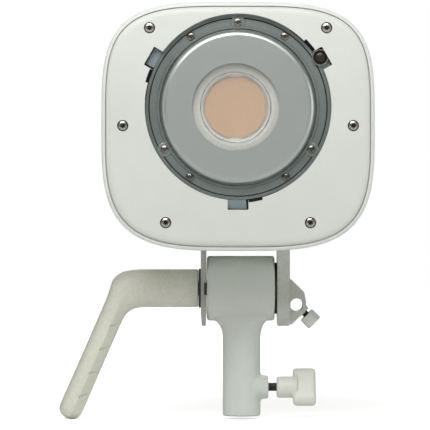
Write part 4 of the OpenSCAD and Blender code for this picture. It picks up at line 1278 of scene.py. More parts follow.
    def slide(self) -> None:
        """The thumb slide on the flank, ribbed for the thumb, with the arm that draws the pin back."""
        box = Extent.of("release_slider")
        pin = Extent.of("lock_pin").centre
        start, outer, ribs = box.low.y, box.high.x, []
        thumb = Bench.prism(rectangle((start, pin.z - 3.5), (start + 8.0, pin.z + 3.5), 1.2), Axis.X,
                            outer - 7.4, outer - 0.3)
        for i in range(5):
            y = start - 2.4 + i * 1.9
            ribs.append(Bench.prism(rectangle((y, pin.z - 3.1), (y + 0.8, pin.z + 3.1), 0.3), Axis.X,
                                    outer - 0.8, outer))
        arm_y = box.high.y - 2.5
        arm = Bench.prism(rectangle((pin.x, pin.z - 3.0), (outer - 6.6, pin.z + 3.0), 0.8), Axis.Y, arm_y,
                          arm_y + 2.5)
        wide = self.collar_radius
        eye = Bench.lathe([(3.45, 0.0), (wide, 0.0), (wide, 2.5), (3.45, 2.5)], Axis.Y, (pin.x, arm_y, pin.z),
                          40)
        web = Bench.prism(rectangle((start, pin.z - 3.0), (box.high.y, pin.z + 3.0), 0.8), Axis.X,
                          outer - 9.4, outer - 6.4)
        slide = Bench.softened(Bench.joined([thumb, *ribs, arm, eye, web]), 0.25, 2)
        Bench.handed_over(slide, "release_thumb", BLACK, "bayonet_release", ["release_slider"])

    def build(self) -> None:
        """Builds and dresses the bayonet."""
        self.body()
        self.channels()
        self.dark_groove()
        self.raised()
        self.screws()
        self.pin()
        self.spring()
        self.slide()


@dataclass(frozen=True)
class LightSource:
    """The satin cover with its round window, the holder ring behind the glass and the phosphor disc."""

    shoulder: float = 4.0
    sheet: float = 1.6
    opening: float = 28.4
    tab_width: float = 7.8

    @property
    def centre(self) -> Point:
        """The window's centre, a little to one side of the cover's."""
        middle = Extent.of("source_ring").centre
        return middle.x, middle.z

    def cover(self) -> None:
        """The cover: a shallow spun cup with a rounded shoulder and a round opening."""
        r, top, t = AT.cover.size.x / 2, AT.cover.low.y - AT.face, self.sheet
        back = AT.cover.high.y - AT.face
        turns, bend = quarter(12), self.shoulder
        outer = [(r - bend + bend * math.sin(a), top + bend * (1 - math.cos(a))) for a in turns]
        inner = [(u - t * math.sin(a), v + t * math.cos(a)) for (u, v), a in zip(outer, turns)]
        profile = [(0.0, top), (34.0, top), *outer, (r, back), (r - t, back), *reversed(inner),
                   (0.0, top + t)]
        cover = Bench.lathe(profile, Axis.Y, (AT.ring[0], AT.face, AT.ring[1]), 160)
        Bench.cut(cover, Bench.prism(circle(self.opening, 128, self.centre), Axis.Y, AT.face - 6,
                                     AT.face + 4))
        Bench.softened(cover, 0.35, 3, 60)
        Bench.handed_over(cover, "window_cover", COVER, "lamp_head", ["reflector_cover"], 32)

    def glass(self) -> None:
        """The clear window pressed up against the cover from behind."""
        box = Extent.of("window_glass")
        r, t = box.size.x / 2, box.size.y
        pane = Bench.lathe([(0.0, 0.0), (r - 0.4, 0.0), (r, 0.4), (r, t - 0.4), (r - 0.4, t), (0.0, t)],
                           Axis.Y,
                           (self.centre[0], box.low.y, self.centre[1]), 128)
        Bench.handed_over(pane, "window_pane", GLASS, "lamp_head", ["window_glass"])
        seal = Extent.of("window_seal")
        bead = [(seal.size.x / 2 - 0.7 + u, v) for u, v in circle(0.7, 14)]
        ring = Bench.lathe(bead, Axis.Y, (self.centre[0], seal.centre.y, self.centre[1]), 96)
        Bench.handed_over(ring, "window_bead", RUBBER, "lamp_head", ["window_seal"])

    def holder(self) -> None:
        """The stepped holder ring, with a bright inner lip and a tab above and below the disc."""
        face = (self.centre[0], AT.face, self.centre[1])
        profile = [(21.5, 9.8), (21.5, 5.6), (22.7, 4.3), (24.5, 4.3), (24.7, 4.1), (24.7, 3.1), (24.9, 2.9),
                   (31.2, 2.9), (31.4, 3.1), (31.4, 9.8)]
        Bench.handed_over(Bench.lathe(profile, Axis.Y, face, 128), "source_holder", HOLDER, "lamp_head",
                          ["source_ring"])
        lip = Bench.lathe([(22.5, 4.6), (22.6, 3.95), (22.9, 3.8), (23.2, 3.95), (23.3, 4.6)], Axis.Y, face,
                          128)
        Bench.handed_over(lip, "source_lip", BEZEL, "lamp_head")
        half = self.tab_width / 2
        tab = Bench.prism(rounded([(-half, 20.0, 0.4), (half, 20.0, 0.4), (half + 0.9, 22.4, 0.4),
                                   (-half - 0.9, 22.4, 0.4)]), Axis.Y, AT.face + 7.4, AT.face + 9.6)
        Bench.softened(tab, 0.25, 2)
        turns = [Matrix.Translation((face[0], 0, face[2])) @ Matrix.Rotation(a, 4, "Y")
                 for a in (0.0, math.pi)]
        Bench.handed_over(Bench.joined(Bench.copies(tab, turns)), "source_tabs", HOLDER, "lamp_head")

    def disc(self) -> None:
        """The phosphor: a soft-edged twelve-sided disc."""
        box = Extent.of("phosphor")
        radius = box.size.x / 2 / math.cos(math.radians(15))
        points = arc(radius, 15, 375, 12, self.centre)[:-1]
        disc = Bench.prism(points, Axis.Y, box.low.y, box.high.y)
        Bench.softened(disc, 0.5, 4, 20)
        Bench.handed_over(disc, "phosphor_disc", PHOSPHOR, "lamp_head", ["phosphor"])

    def build(self) -> None:
        """Builds and dresses the light source."""
        self.cover()
        self.glass()
        self.holder()
        self.disc()


@dataclass(frozen=True)
class Yoke:
    """The two yoke arms under the head, the umbrella boss on the right one and the friction washers."""

    left_thick: float = 3.7
    right_thick: float = 8.4
    foot: float = 3.4
    foot_reach: float = 16.0
    round_off: float = 0.9
    washer_radius: float = 17.3
    bolt: float = 5.05
    nut: float = 9.9
    lean: float = 45.0
    shaft_hole: float = 4.3
    tip_middle: float = 0.65
    boss: tuple[Corner, ...] = ((-3.0, 92.0, 0.0), (1.0, 92.0, 2.5), (9.8, 83.4, 4.0), (11.2, 76.5, 3.0),
                                (10.7, 70.2, 2.5), (6.5, 66.5, 3.5), (1.4, 61.6, 1.5), (-3.0, 61.6, 0.0))

    @property
    def axis_height(self) -> float:
        """The tilt axis's height."""
        return Extent.of("tilt_bolt").centre.z

    def side_shape(self, box: Extent) -> list[Point]:
        """An arm seen from the side: upright, with a round lower end."""
        half = box.size.y / 2
        return arc(half, 180, 360, 40, (0.0, box.low.z + half)) + [(half, box.high.z), (-half, box.high.z)]

    def blank(self, box: Extent, front: Sequence[Corner]) -> bpy.types.Object:
        """An arm: its front outline swept back, kept within its side outline."""
        half = box.size.y / 2 + 1
        arm = Bench.prism(rounded(front), Axis.Y, -half, half)
        side = Bench.prism(self.side_shape(box), Axis.X, box.low.x - 5, box.high.x + 5)
        return Bench.combined(arm, [side], "INTERSECT")

    def left(self) -> None:
        """The thin left plate with its washer recess and foot."""
        box = Extent.of("yoke_plate_left")
        x0, x1, foot = box.low.x, box.low.x + self.left_thick, box.high.z - self.foot
        arm = self.blank(box, [(x0 + 0.7, box.low.z, 0.7), (x1 - 0.5, box.low.z, 0.6),
                               (x1, box.low.z + 7, 2.0),
                               (x1, foot, 1.2), (x0 + self.foot_reach, foot, 0.5),
                               (x0 + self.foot_reach, box.high.z, 0.5), (x0, box.high.z, 2.0),
                               (x0, box.low.z + 9, 3.0)])
        z = self.axis_height
        Bench.cut(arm, Bench.prism(circle(self.washer_radius + 0.2, 96, (0, z)), Axis.X, x1 - 1.5, x1 + 2),
                  Bench.prism(circle(self.bolt, 48, (0, z)), Axis.X, x0 - 2, x1 + 2))
        Bench.softened(arm, self.round_off * 0.6, 3)
        Bench.handed_over(arm, "yoke_arm_thin", YOKE_SHADED, "lamp_head", ["yoke_plate_left"], 32)

    def right(self) -> None:
        """The thick right arm, with the umbrella boss and the neck that its screw enters through."""
        box = Extent.of("yoke_arm_right")
        outer = box.low.x + self.foot_reach + self.right_thick
        inner = outer - self.right_thick
        foot, z = box.high.z - self.foot, self.axis_height
        arm = self.blank(box, [(inner, box.low.z, 1.2), (outer, box.low.z, 1.2), (outer, box.high.z, 2.0),
                               (box.low.x, box.high.z, 0.5), (box.low.x, foot, 0.5), (inner, foot, 1.2)])
        Bench.softened(arm, self.round_off, 3)
        boss = Bench.prism(rounded([(outer + u, v, r) for u, v, r in self.boss], 8), Axis.Y, -11, 11)
        Bench.softened(boss, 1.6, 4, 50)
        hole_x, hole_z = self.hole()
        lean = self.screw_turn
        neck = Bench.lathe([(0.0, 2.0), (5.2, 2.0), (4.6, 5.0), (4.25, 6.0), (4.2, 7.0), (3.8, 7.5),
                            (0.0, 7.5)],
                           Axis.Z, (hole_x, 0, hole_z), 40, lean)
        Bench.united(arm, boss, neck)
        bore = [(max(u, -4.05), v) for u, v in circle(self.shaft_hole, 56)]
        Bench.cut(arm, Bench.prism([(hole_x + u, hole_z + v) for u, v in bore], Axis.Y, -14, 14),
                  Bench.prism(circle(self.bolt, 48, (0, z)), Axis.X, inner - 2, outer - 1),
                  Bench.lathe([(0.0, 0.0), (2.6, 0.0), (2.6, 12.0), (0.0, 12.0)], Axis.Z, (hole_x, 0, hole_z),
                              32, lean))
        Bench.cut(arm, Bench.prism(circle(self.nut, 6, (0, z)), Axis.X, inner - 1, inner + 6.5))
        Bench.softened(arm, 0.35, 2, 50)
        Bench.handed_over(arm, "yoke_arm_thick", YOKE, "lamp_head", ["yoke_arm_right"], 32)

    @property
    def screw_turn(self) -> Matrix:
        """The turn that takes an upright shape onto the umbrella screw's axis."""
        return Matrix.Rotation(math.radians(90 + self.lean), 4, "Y")

    def arms(self) -> list[tuple[Extent, float, float]]:
        """Each arm's box, and where the upright part of the arm starts and ends across the head."""
        left, right = Extent.of("yoke_plate_left"), Extent.of("yoke_arm_right")
        inner = right.low.x + self.foot_reach
        return [(left, left.low.x, left.low.x + self.left_thick), (right, inner, inner + self.right_thick)]

    def hole(self) -> Point:
        """Where the umbrella hole's axis passes, found from its screw's tip and the screw's lean."""
        box = Extent.of("yoke_arm_right")
        tip = Extent.of("umbrella_tip").centre
        step = (self.shaft_hole + self.tip_middle) * math.sin(math.radians(self.lean))
        return min(tip.x - step, box.high.x), tip.z + step

    def washers(self) -> None:
        """The black friction washers each side of the barrel, and the one under the handle."""
        z = self.axis_height
        both, under = Extent.of("friction_washers"), Extent.of("handle_washer")
        discs = []
        for x, radius, thick in ((both.low.x, self.washer_radius, 1.5),
                                 (both.high.x - 1.5, self.washer_radius, 1.5),
                                 (under.low.x, under.size.z / 2, under.size.x)):
            profile = [(5.4, 0.0), (radius - 0.3, 0.0), (radius, 0.3), (radius, thick - 0.3),
                       (radius - 0.3, thick),
                       (5.4, thick)]
            discs.append(Bench.lathe(profile, Axis.X, (x, 0, z), 96))
        Bench.handed_over(Bench.joined(discs[:2]), "brake_washers", BLACK, "lamp_head", ["friction_washers"])
        Bench.handed_over(discs[2], "grip_washer", BLACK, "lamp_head", ["handle_washer"])

    def build(self) -> None:
        """Builds and dresses the yoke."""
        self.left()
        self.right()
        self.washers()


@dataclass(frozen=True)
class UmbrellaScrew:
    """The small thumbscrew that clamps an umbrella shaft in the yoke's hole."""

    cap_radius: float = 5.6
    cap_length: float = 7.8
    face: float = 9.75

    def build(self) -> None:
        """Builds the cap and its threaded stud."""
        yoke = Yoke()
        (x, z), lean = yoke.hole(), yoke.screw_turn
        r, start, end = self.cap_radius, self.face, self.face + self.cap_length
        cap = Bench.lathe([(2.5, start + 5), (2.5, start + 0.4), (2.9, start), (r - 0.4, start),
                           (r - 0.1, start + 0.3),
                           (r, start + 0.8), (r, end - 0.8), (r - 0.25, end - 0.25), (r - 0.8, end),
                           (0.0, end),
                           (0.0, start + 5)], Axis.Z, (x, 0, z), 48, lean)
        Bench.handed_over(cap, "umbrella_thumb", CAP, "umbrella_knob_turn", ["umbrella_cap"])
        seam = Bench.lathe([(2.6, start - 0.2), (4.9, start - 0.2), (5.0, start - 0.1), (4.9, start + 0.1),
                            (2.6, start + 0.1)], Axis.Z, (x, 0, z), 48, lean)
        Bench.handed_over(seam, "umbrella_collar", BLACK, "umbrella_knob_turn")
        stud = Threaded(2.45, 5.6, start + 4.6, 0.8).modelled(Axis.Z, (x, 0, z), lean)
        Bench.handed_over(stud, "umbrella_thread", BLACK_STEEL, "umbrella_knob_turn", ["umbrella_stud"])


@dataclass(frozen=True)
class Receiver:
    """The stand receiver: tube, flare, barrel and clamp boss, with the T-handled clamp screw."""

    tube: float = 12.7
    socket: float = 8.05
    socket_depth: float = 45.0
    barrel: float = 21.8
    bush: float = 7.5
    flare_rise: float = 12.0
    flare_short: float = 3.7
    boss: float = 7.9
    end_round: float = 1.6

    @property
    def body(self) -> Extent:
        """The receiver's box."""
        return Extent.of("receiver")

    def flare(self) -> bpy.types.Object:
        """The web that widens the tube until it reaches both ends of the barrel."""
        box = self.body
        start, rings = box.high.z - 2 * self.barrel - self.flare_rise + 0.3, []
        stations = [(0.0, start - 3)] + [(t, start + self.flare_rise * math.sin(t)) for t in quarter(9)]
        stations.append((math.pi / 2, start + self.flare_rise + 9))
        for t, z in stations:
            grow = 1 - math.cos(t)
            left = -self.tube + (box.low.x + self.flare_short + self.tube) * grow
            right = self.tube + (box.high.x - self.flare_short - self.tube) * grow
            middle, half = (left + right) / 2, (right - left) / 2
            power = 2 + 2.2 * grow
            points = [(middle + half * squared(math.cos(a), power),
                       (self.tube - 0.05) * squared(math.sin(a), power))
                      for a in (FULL_TURN * i / 72 for i in range(72))]
            rings.append(Bench.outline(points, Axis.Z.place(z)))
        return Bench.loft(rings)

    def main(self) -> None:
        """The painted casting itself."""
        box = self.body
        z = Extent.of("clamp_insert").centre.z
        axis_z = box.high.z - self.barrel
        tube = Bench.lathe([(0.0, 0.0), (self.tube - 0.8, 0.0), (self.tube - 0.2, 0.25), (self.tube, 0.8),
                            (self.tube, 40.0), (self.tube, axis_z - 10), (0.0, axis_z - 10)], Axis.Z,
                           (0, 0, 0), 112)
        length, r, e = box.size.x, self.barrel, self.end_round
        ends = [(r - e + e * math.sin(a), e * (1 - math.cos(a))) for a in quarter(6)]
        profile = [(self.bush, 0.0), *ends, (r, length / 2), *[(u, length - v) for u, v in reversed(ends)],
                   (self.bush, length)]
        barrel = Bench.lathe(profile, Axis.X, (box.low.x, 0, axis_z), 128)
        face = Extent.of("clamp_insert").high.x
        b = self.boss
        boss = Bench.lathe([(0.0, 8.5), (b + 2.6, 8.5), (b + 1.9, 10.8), (b + 1.0, 12.6), (b + 0.35, 13.8),
                            (b, 15.0),
                            (b, face - 0.8), (b - 0.25, face - 0.2), (b - 0.8, face), (0.0, face)], Axis.X,
                           (0, 0, z), 64)
        Bench.united(tube, self.flare(), barrel, boss)
        Bench.melted(tube, 0.62, 7)
        Bench.cut(tube, Bench.prism(circle(self.socket, 72), Axis.Z, -2, self.socket_depth),
                  Bench.prism(circle(5.05, 40, (0, z)), Axis.X, 6, face + 2))
        Bench.handed_over(tube, "receiver_casting", CASTING, "stand_receiver", ["receiver"], 50)

    def fittings(self) -> None:
        """The brass bush in the barrel and the threaded insert in the clamp boss."""
        bush, insert = Extent.of("barrel_bush"), Extent.of("clamp_insert")
        ring = Bench.lathe([(5.05, 0.3), (5.35, 0.0), (7.3, 0.0), (7.5, 0.2), (7.5, bush.size.x - 0.2),
                            (7.3, bush.size.x), (5.35, bush.size.x), (5.05, bush.size.x - 0.3)], Axis.X,
                           (bush.low.x, 0, bush.centre.z), 64)
        Bench.handed_over(ring, "barrel_liner", BRASS, "stand_receiver", ["barrel_bush"])
        sleeve = Bench.lathe([(3.05, 0.4), (3.4, 0.0), (4.8, 0.0), (5.0, 0.2), (5.0, insert.size.x - 0.2),
                              (4.8, insert.size.x), (3.4, insert.size.x), (3.05, insert.size.x - 0.4)],
                             Axis.X,
                             (insert.low.x, 0, insert.centre.z), 40)
        Bench.handed_over(sleeve, "clamp_sleeve", BRASS, "stand_receiver", ["clamp_insert"])

    def clamp(self) -> None:
        """The T-handle and its black threaded stud."""
        knob, stud = Extent.of("clamp_knob"), Extent.of("clamp_stud")
        z, start = stud.centre.z, knob.low.x
        neck = Bench.lathe([(0.0, 0.0), (5.6, 0.0), (6.6, 0.35), (7.2, 1.1), (7.4, 2.2), (7.4, 11.2),
                            (7.9, 12.6),
                            (8.6, 13.6), (0.0, 15.0)], Axis.X, (start, 0, z), 72)
        bar = Bench.prism(rounded([(-5, -13.6, 5), (5, -13.6, 5), (5, 13.6, 5), (-5, 13.6, 5)], 10), Axis.X,
                          start + 11,
                          knob.high.x)
        Bench.softened(bar, 2.4, 5, 50)
        turn = Matrix.Translation((0, 0, z)) @ Matrix.Rotation(math.radians(-28), 4, "X")
        Bench.united(neck, Bench.moved(bar, turn))
        Bench.melted(neck, 0.4, 16)
        Bench.cut(neck, Bench.prism(circle(3.02, 32, (0, z)), Axis.X, start - 2, start + 9))
        Bench.handed_over(neck, "clamp_handle", KNOB, "clamp_knob_turn", ["clamp_knob"], 60)
        thread = Threaded(2.98, stud.low.x + 0.05, start + 8.9).modelled(Axis.X, (0, 0, z))
        Bench.handed_over(thread, "clamp_thread", BLACK_STEEL, "clamp_knob_turn", ["clamp_stud"])

    def build(self) -> None:
        """Builds and dresses the receiver."""
        self.main()
        self.fittings()
        self.clamp()


@dataclass(frozen=True)
class Handle:
    """The side handle: a round root that bends into a flat lever with finger grooves on its inner facet."""

    depth: float = 12.75
    half: float = 7.85
    length: float = 95.0
    bend: Point = (-79.3, 85.8)
    along: Point = (-0.402, -0.916)
    grooves: tuple[float, ...] = (24.6, 41.7, 58.9, 76.2)
    facet_from: float = 0.3
    facet_depth: float = 0.42
    root: tuple[tuple[Point, Point], ...] = (
        ((-50.0, 98.55), (-50.0, 73.05)), ((-61.0, 98.55), (-59.0, 73.05)), ((-69.0, 98.5), (-64.5, 73.05)),
        ((-75.5, 98.0), (-68.2, 72.95)), ((-80.0, 96.8), (-71.0, 72.4)), ((-83.2, 94.9), (-73.3, 71.6)),
        ((-85.4, 93.0), (-75.4, 70.4)), ((-87.0, 90.8), (-77.3, 68.8)), ((-88.0, 87.6), (-78.8, 66.9)),
        ((-89.4, 83.2), (-80.3, 63.9)), ((-91.6, 77.6), (-82.0, 60.3)),
    )

    def edge(self, distance: float, share: float) -> Point:
        """A point beside the lever's middle line.

        Args:
            distance: How far down the lever from the bend.
            share: -1 at the outer edge and 1 at the inner.

        Returns:
            The point, seen from the front.
        """
        across = (-self.along[1], self.along[0])
        x = self.bend[0] + self.along[0] * distance + across[0] * self.half * share
        return x, self.bend[1] + self.along[1] * distance + across[1] * self.half * share

    def facet(self, share: float) -> float:
        """How far the inner facet stands out at a place across the lever, as a share of the full depth."""
        rise = (share - self.facet_from) / (1 - self.facet_from)
        return 0.96 + (self.facet_depth - 0.96) * rise

    def station(self, outer: Point, inner: Point, depth: float, power: float,
                faceted: float) -> bpy.types.Object:
        """One closed section of the handle between an outer and an inner point.

        Args:
            outer: The section's outer end, seen from the front.
            inner: Its inner end.
            depth: Half its size from front to back.
            power: How square it is, 2 for round.
            faceted: How much of the inner facet it has, 0 to 1.

        Returns:
            The section as a ring.
        """
        a, b = Vector((outer[0], 0, outer[1])), Vector((inner[0], 0, inner[1]))
        middle, reach = (a + b) / 2, (b - a) / 2
        spots = []
        for i in range(72):
            turn = FULL_TURN * i / 72
            u, v = squared(math.cos(turn), power), squared(math.sin(turn), power)
            if u > self.facet_from:
                limit = abs(v) + (min(abs(v), self.facet(u)) - abs(v)) * faceted
                v = math.copysign(limit, v)
            spots.append(middle + reach * u + Vector((0, depth * v, 0)))
        ring = Bench.outline([(0.0, 0.0)] * len(spots), lambda p: (p[0], 0.0, p[1]))
        for vertex, spot in zip(ring.data.vertices, spots):
            vertex.co = spot
        return ring

    def stations(self) -> list[bpy.types.Object]:
        """Every section, from the washer end to the lever's rounded tip."""
        box = Extent.of("handle_grip")
        rings = []
        for inset, x in ((0.9, box.high.x), (0.3, box.high.x - 0.35), (0.0, box.high.x - 1.1), (0.0, -40.0)):
            high, low = 98.55 - inset, 73.05 + inset
            rings.append(self.station((x, high), (x, low), self.depth - inset, 2.0, 0.0))
        for i, (outer, inner) in enumerate(self.root):
            share = max(0.0, (i - 4) / 6)
            rings.append(self.station(outer, inner, self.depth, 2 + 0.5 * share, share))
        even = [(s, s) for s in (45.0, 60.0, 75.0, 86.0)]
        for outer_at, inner_at in [(20.0, 27.5), (31.0, 34.0), *even]:
            rings.append(self.station(self.edge(outer_at, -1), self.edge(inner_at, 1), self.depth, 2.5, 1.0))
        reach = self.length - 87.0
        for t in (0.2, 0.4, 0.6, 0.75, 0.87, 0.95, 0.99):
            shrink = (1 - t ** 2.4) ** (1 / 2.4)
            s = 87.0 + reach * t
            rings.append(self.station(self.edge(s, -shrink), self.edge(s, shrink),
                                      self.depth * (0.45 + 0.55 * shrink), 2.5, 1.0))
        return rings

    def groove(self, distance: float, side: float) -> bpy.types.Object:
        """A cutter for one oblique finger groove on the inner facet, in front or behind."""
        start, end = self.edge(distance + 2.4, 0.2), self.edge(distance - 2.6, 1.12)
        a = Vector((start[0], side * self.depth * (self.facet(0.3) + 0.045), start[1]))
        b = Vector((end[0], side * self.depth * (self.facet(1.0) - 0.02), end[1]))
        length, r = (b - a).length, 1.0
        cap = [(r * math.sin(t), r - r * math.cos(t)) for t in quarter(5)]
        profile = [*cap, *[(u, length - v) for u, v in reversed(cap)]]
        lean = (b - a).to_track_quat("Z", "Y").to_matrix().to_4x4()
        return Bench.lathe(profile, Axis.Z, a, 20, lean)

    def build(self) -> None:
        """Builds and dresses the handle."""
        grip = Bench.loft(self.stations())
        z, bolt = self.bend[1], Extent.of("tilt_bolt")
        Bench.cut(grip, Bench.prism(circle(5.05, 40, (0, z)), Axis.X, bolt.low.x + 6, -20),
                  Bench.prism(circle(9.8, 6, (0, z)), Axis.X, bolt.low.x - 0.1, bolt.low.x + 7.1))
        for distance in self.grooves:
            Bench.cut(grip, self.groove(distance, -1), self.groove(distance, 1))
        Bench.softened(grip, 0.22, 2, 50)
        Bench.handed_over(grip, "grip_handle", GRIP, "tilt_handle", ["handle_grip"], 36)


@dataclass(frozen=True)
class RearControls:
    """The rear panel with its display, dials, buttons, mains inlet and power switch."""

    dial_radius: float = 12.5
    flutes: int = 30
    screw: ScrewHead = ScrewHead(2.7, 1.5, 1.0, 0.4)
    screw_places: tuple[Point, ...] = ((-58.0, 50.0), (58.0, 50.0), (-56.0, -50.0), (56.0, -50.0))

    def panel(self) -> None:
        """The panel: rounded edge, sunk display bay, and openings for each control."""
        box, back = AT.panel, AT.panel.high.y
        size = box.size
        plate = Bench.loft([Bench.outline(rounded_square(size.x, size.z, AT.head, i), Axis.Y.place(y))
                            for i, y in ((0.0, box.low.y), (0.0, back - 0.7), (0.25, back - 0.2),
                                         (0.8, back))])
        tools = []
        for node, grow, radius, depth in (("display_window", 0.2, 2.4, 1.5), ("inlet_body", -1.5, 3.0, 8),
                                          ("switch_frame", -1.1, 1.5, 8)):
            tools.append(Bench.prism(framed(Extent.of(node), radius, grow), Axis.Y, back - depth, back + 2))
        for node, radius in (("dial_left_knob", 4.0), ("dial_right_knob", 4.0), ("button_left", 4.8),
                             ("button_middle", 4.8), ("button_right", 4.8)):
            spot = Extent.of(node).centre
            tools.append(Bench.prism(circle(radius, 40, (spot.x, spot.z)), Axis.Y, box.low.y - 2, back + 2))
        for x, z in self.screw_places:
            tools.append(Bench.prism(circle(2.95, 32, (AT.head[0] + x, AT.head[1] + z)), Axis.Y, back - 1.6,
                                     back + 2))
        for node in ("dial_left_knob", "dial_right_knob"):
            spot = Extent.of(node).centre
            tools.append(Bench.lathe([(15.2, -0.5), (15.2, 0.6), (14.6, 0.6), (14.6, -0.5)], Axis.Y,
                                     (spot.x, back - 0.5, spot.z), 96))
        Bench.cut(plate, *tools)
        Bench.softened(plate, 0.3, 2, 40)
        Bench.handed_over(plate, "back_panel", PANEL, "lamp_head", ["rear_panel"], 32)
        spots = [Matrix.Translation((AT.head[0] + x, back - 0.15, AT.head[1] + z)) @
                 Matrix.Rotation(math.radians(31 * z), 4, "Y") for x, z in self.screw_places]
        heads = Bench.joined(Bench.copies(self.screw.modelled(-1), spots))
        Bench.handed_over(heads, "back_screws", BLACK_STEEL, "lamp_head", ["rear_screws"], 40)

    def display(self) -> None:
        """The dark display glass."""
        box = Extent.of("display_window")
        glass = Bench.prism(framed(box, 2.2, steps=8), Axis.Y, box.low.y, box.high.y)
        Bench.softened(glass, 0.3, 3)
        Bench.handed_over(glass, "display_glass", SCREEN, "lamp_head", ["display_window"])

    def dial(self, side: str) -> None:
        """A fluted dial with a sunk cap and a pointer line, on its steel shaft."""
        knob, shaft = Extent.of(f"dial_{side}_knob"), Extent.of(f"dial_{side}_shaft")
        spot = (knob.centre.x, knob.low.y, knob.centre.z)
        r, h = self.dial_radius, knob.size.y
        body = Bench.lathe([(3.1, 0.0), (r + 0.3, 0.0), (r + 0.7, 0.3), (r + 0.7, 1.7), (r + 0.3, 2.2),
                            (r, 2.4),
                            (r - 0.2, h - 2.2), (r - 1.0, h - 0.5), (r - 1.8, h), (r - 2.8, h),
                            (r - 3.6, h - 0.7),
                            (0.0, h - 0.9), (0.0, h - 2.0), (3.1, h - 2.0)], Axis.Y, spot, 120)
        flute = Bench.prism(circle(0.75, 12, (r + 0.25, 0.0)), Axis.Y, knob.low.y + 2.9, knob.high.y + 1)
        place = Matrix.Translation((spot[0], 0, spot[2]))
        cutters = Bench.joined(Bench.copies(flute, [place @ Matrix.Rotation(FULL_TURN * i / self.flutes, 4,
                                                                            "Y")
                                                    for i in range(self.flutes)]))
        Bench.cut(body, cutters)
        Bench.softened(body, 0.12, 2, 48)
        Bench.handed_over(body, f"dial_{side}_body", BLACK, f"dial_{side}_turn", [f"dial_{side}_knob"])
        line = Bench.prism(rectangle((spot[0] - 0.45, spot[2] + 3.4), (spot[0] + 0.45, spot[2] + 8.2), 0.4),
                           Axis.Y,
                           knob.high.y - 1.1, knob.high.y - 0.6)
        Bench.handed_over(line, f"dial_{side}_pointer", MARK, f"dial_{side}_turn")
        r = shaft.size.x / 2
        rod = Bench.lathe([(0.0, 0.0), (r - 0.4, 0.0), (r, 0.4), (r, shaft.size.y), (0.0, shaft.size.y)],
                          Axis.Y,
                          (shaft.centre.x, shaft.low.y, shaft.centre.z), 40)
        Bench.handed_over(rod, f"dial_{side}_spindle", STEEL, f"dial_{side}_push", [f"dial_{side}_shaft"])

    def button(self, side: str) -> None:
        """A round button with a dished top and a flange behind the panel."""
        box = Extent.of(f"button_{side}")
        h = box.size.y
        profile = [(0.0, 0.0), (1.5, 0.0), (1.5, 0.7), (5.4, 0.7), (5.4, 1.8), (4.4, 1.8), (4.4, h - 0.9),
                   (4.15, h - 0.25), (3.6, h), (2.9, h - 0.08), (1.5, h - 0.42), (0.0, h - 0.55)]
        key = Bench.lathe(profile, Axis.Y, (box.centre.x, box.low.y, box.centre.z), 56)
        Bench.handed_over(key, f"key_{side}", KEY, f"button_{side}", [f"button_{side}"])

    def inlet(self) -> None:
        """The mains inlet: a flanged shell with its three blades."""
        box = Extent.of("inlet_body")
        back, depth = box.high.y, box.size.y
        cx, cz = box.centre.x, box.centre.z
        flange = Bench.prism(framed(box, 3.4, steps=8), Axis.Y, back - 1.5, back)
        shell = Bench.prism(centred((cx, cz), 13.8, 10, 3.0, 8), Axis.Y, back - depth, back - 0.7)
        Bench.united(flange, shell)
        recess = rounded([(cx - 12.2, cz - 8.4, 1.2), (cx + 12.2, cz - 8.4, 1.2), (cx + 12.2, cz + 3.4, 1.0),
                          (cx + 7.6, cz + 8.4, 1.0), (cx - 7.6, cz + 8.4, 1.0), (cx - 12.2, cz + 3.4, 1.0)])
        Bench.cut(flange, Bench.prism(recess, Axis.Y, back - depth + 2, back + 2))
        Bench.softened(flange, 0.3, 2)
        Bench.handed_over(flange, "inlet_shell", BLACK, "lamp_head", ["inlet_body"])
        pins = Extent.of("inlet_pins")
        blades = []
        for x, z in ((-7, -2), (0, 2), (7, -2)):
            blade = Bench.prism(centred((cx + x, cz + z), 1, 2, 0.35), Axis.Y, pins.low.y, pins.high.y)
            blades.append(Bench.softened(blade, 0.45, 2))
        Bench.handed_over(Bench.joined(blades), "inlet_blades", STEEL, "lamp_head", ["inlet_pins"])

    def switch(self) -> None:
        """The power switch: a frame and a rocker with two dished ends."""
        box = Extent.of("switch_frame")
        front, back = box.low.y, box.high.y
        cx, cz = box.centre.x, box.centre.z
        rim = Bench.prism(framed(box, 1.6), Axis.Y, back - 1.3, back)
        well = Bench.prism(centred((cx, cz), 7.3, 10.8, 0.8), Axis.Y, front, back - 0.6)
        Bench.united(rim, well)
        Bench.cut(rim, Bench.prism(centred((cx, cz), 6.1, 9.8, 0.5), Axis.Y, front + 2, back + 2))
        Bench.softened(rim, 0.3, 2)
        Bench.handed_over(rim, "switch_bezel", BLACK, "lamp_head", ["switch_frame"])
        face = [(-8.6, 3.4), *[(u, 3.7 + max(0.0, 1.7 - abs(u) * 0.19)) for u in (-6, -3, 0, 3, 6)],
                (8.6, 3.4)]
        profile = [(y, u) for u, y in [*face, (8.0, -4.0), (-8.0, -4.0)]]
        rocker = Bench.prism(profile, Axis.X, -5.6, 5.6)
        Bench.softened(rocker, 0.5, 3, 30)
        pivot = AT.panel.high.y - 3
        Bench.moved(rocker, Matrix.Translation((cx, pivot, cz)) @ Matrix.Rotation(math.radians(7), 4, "X"))
        pin = Bench.prism(circle(1.5, 24, (pivot, cz)), Axis.X, cx - 6, cx + 6)
        Bench.handed_over(Bench.joined([rocker, pin]), "rocker_key", ROCKER, "power_rocker", ["power_rocker"])

    def build(self) -> None:
        """Builds and dresses the rear."""
        self.panel()
        self.display()
        for side in ("left", "right"):
            self.dial(side)
        for side in ("left", "middle", "right"):
            self.button(side)
        self.inlet()
        self.switch()


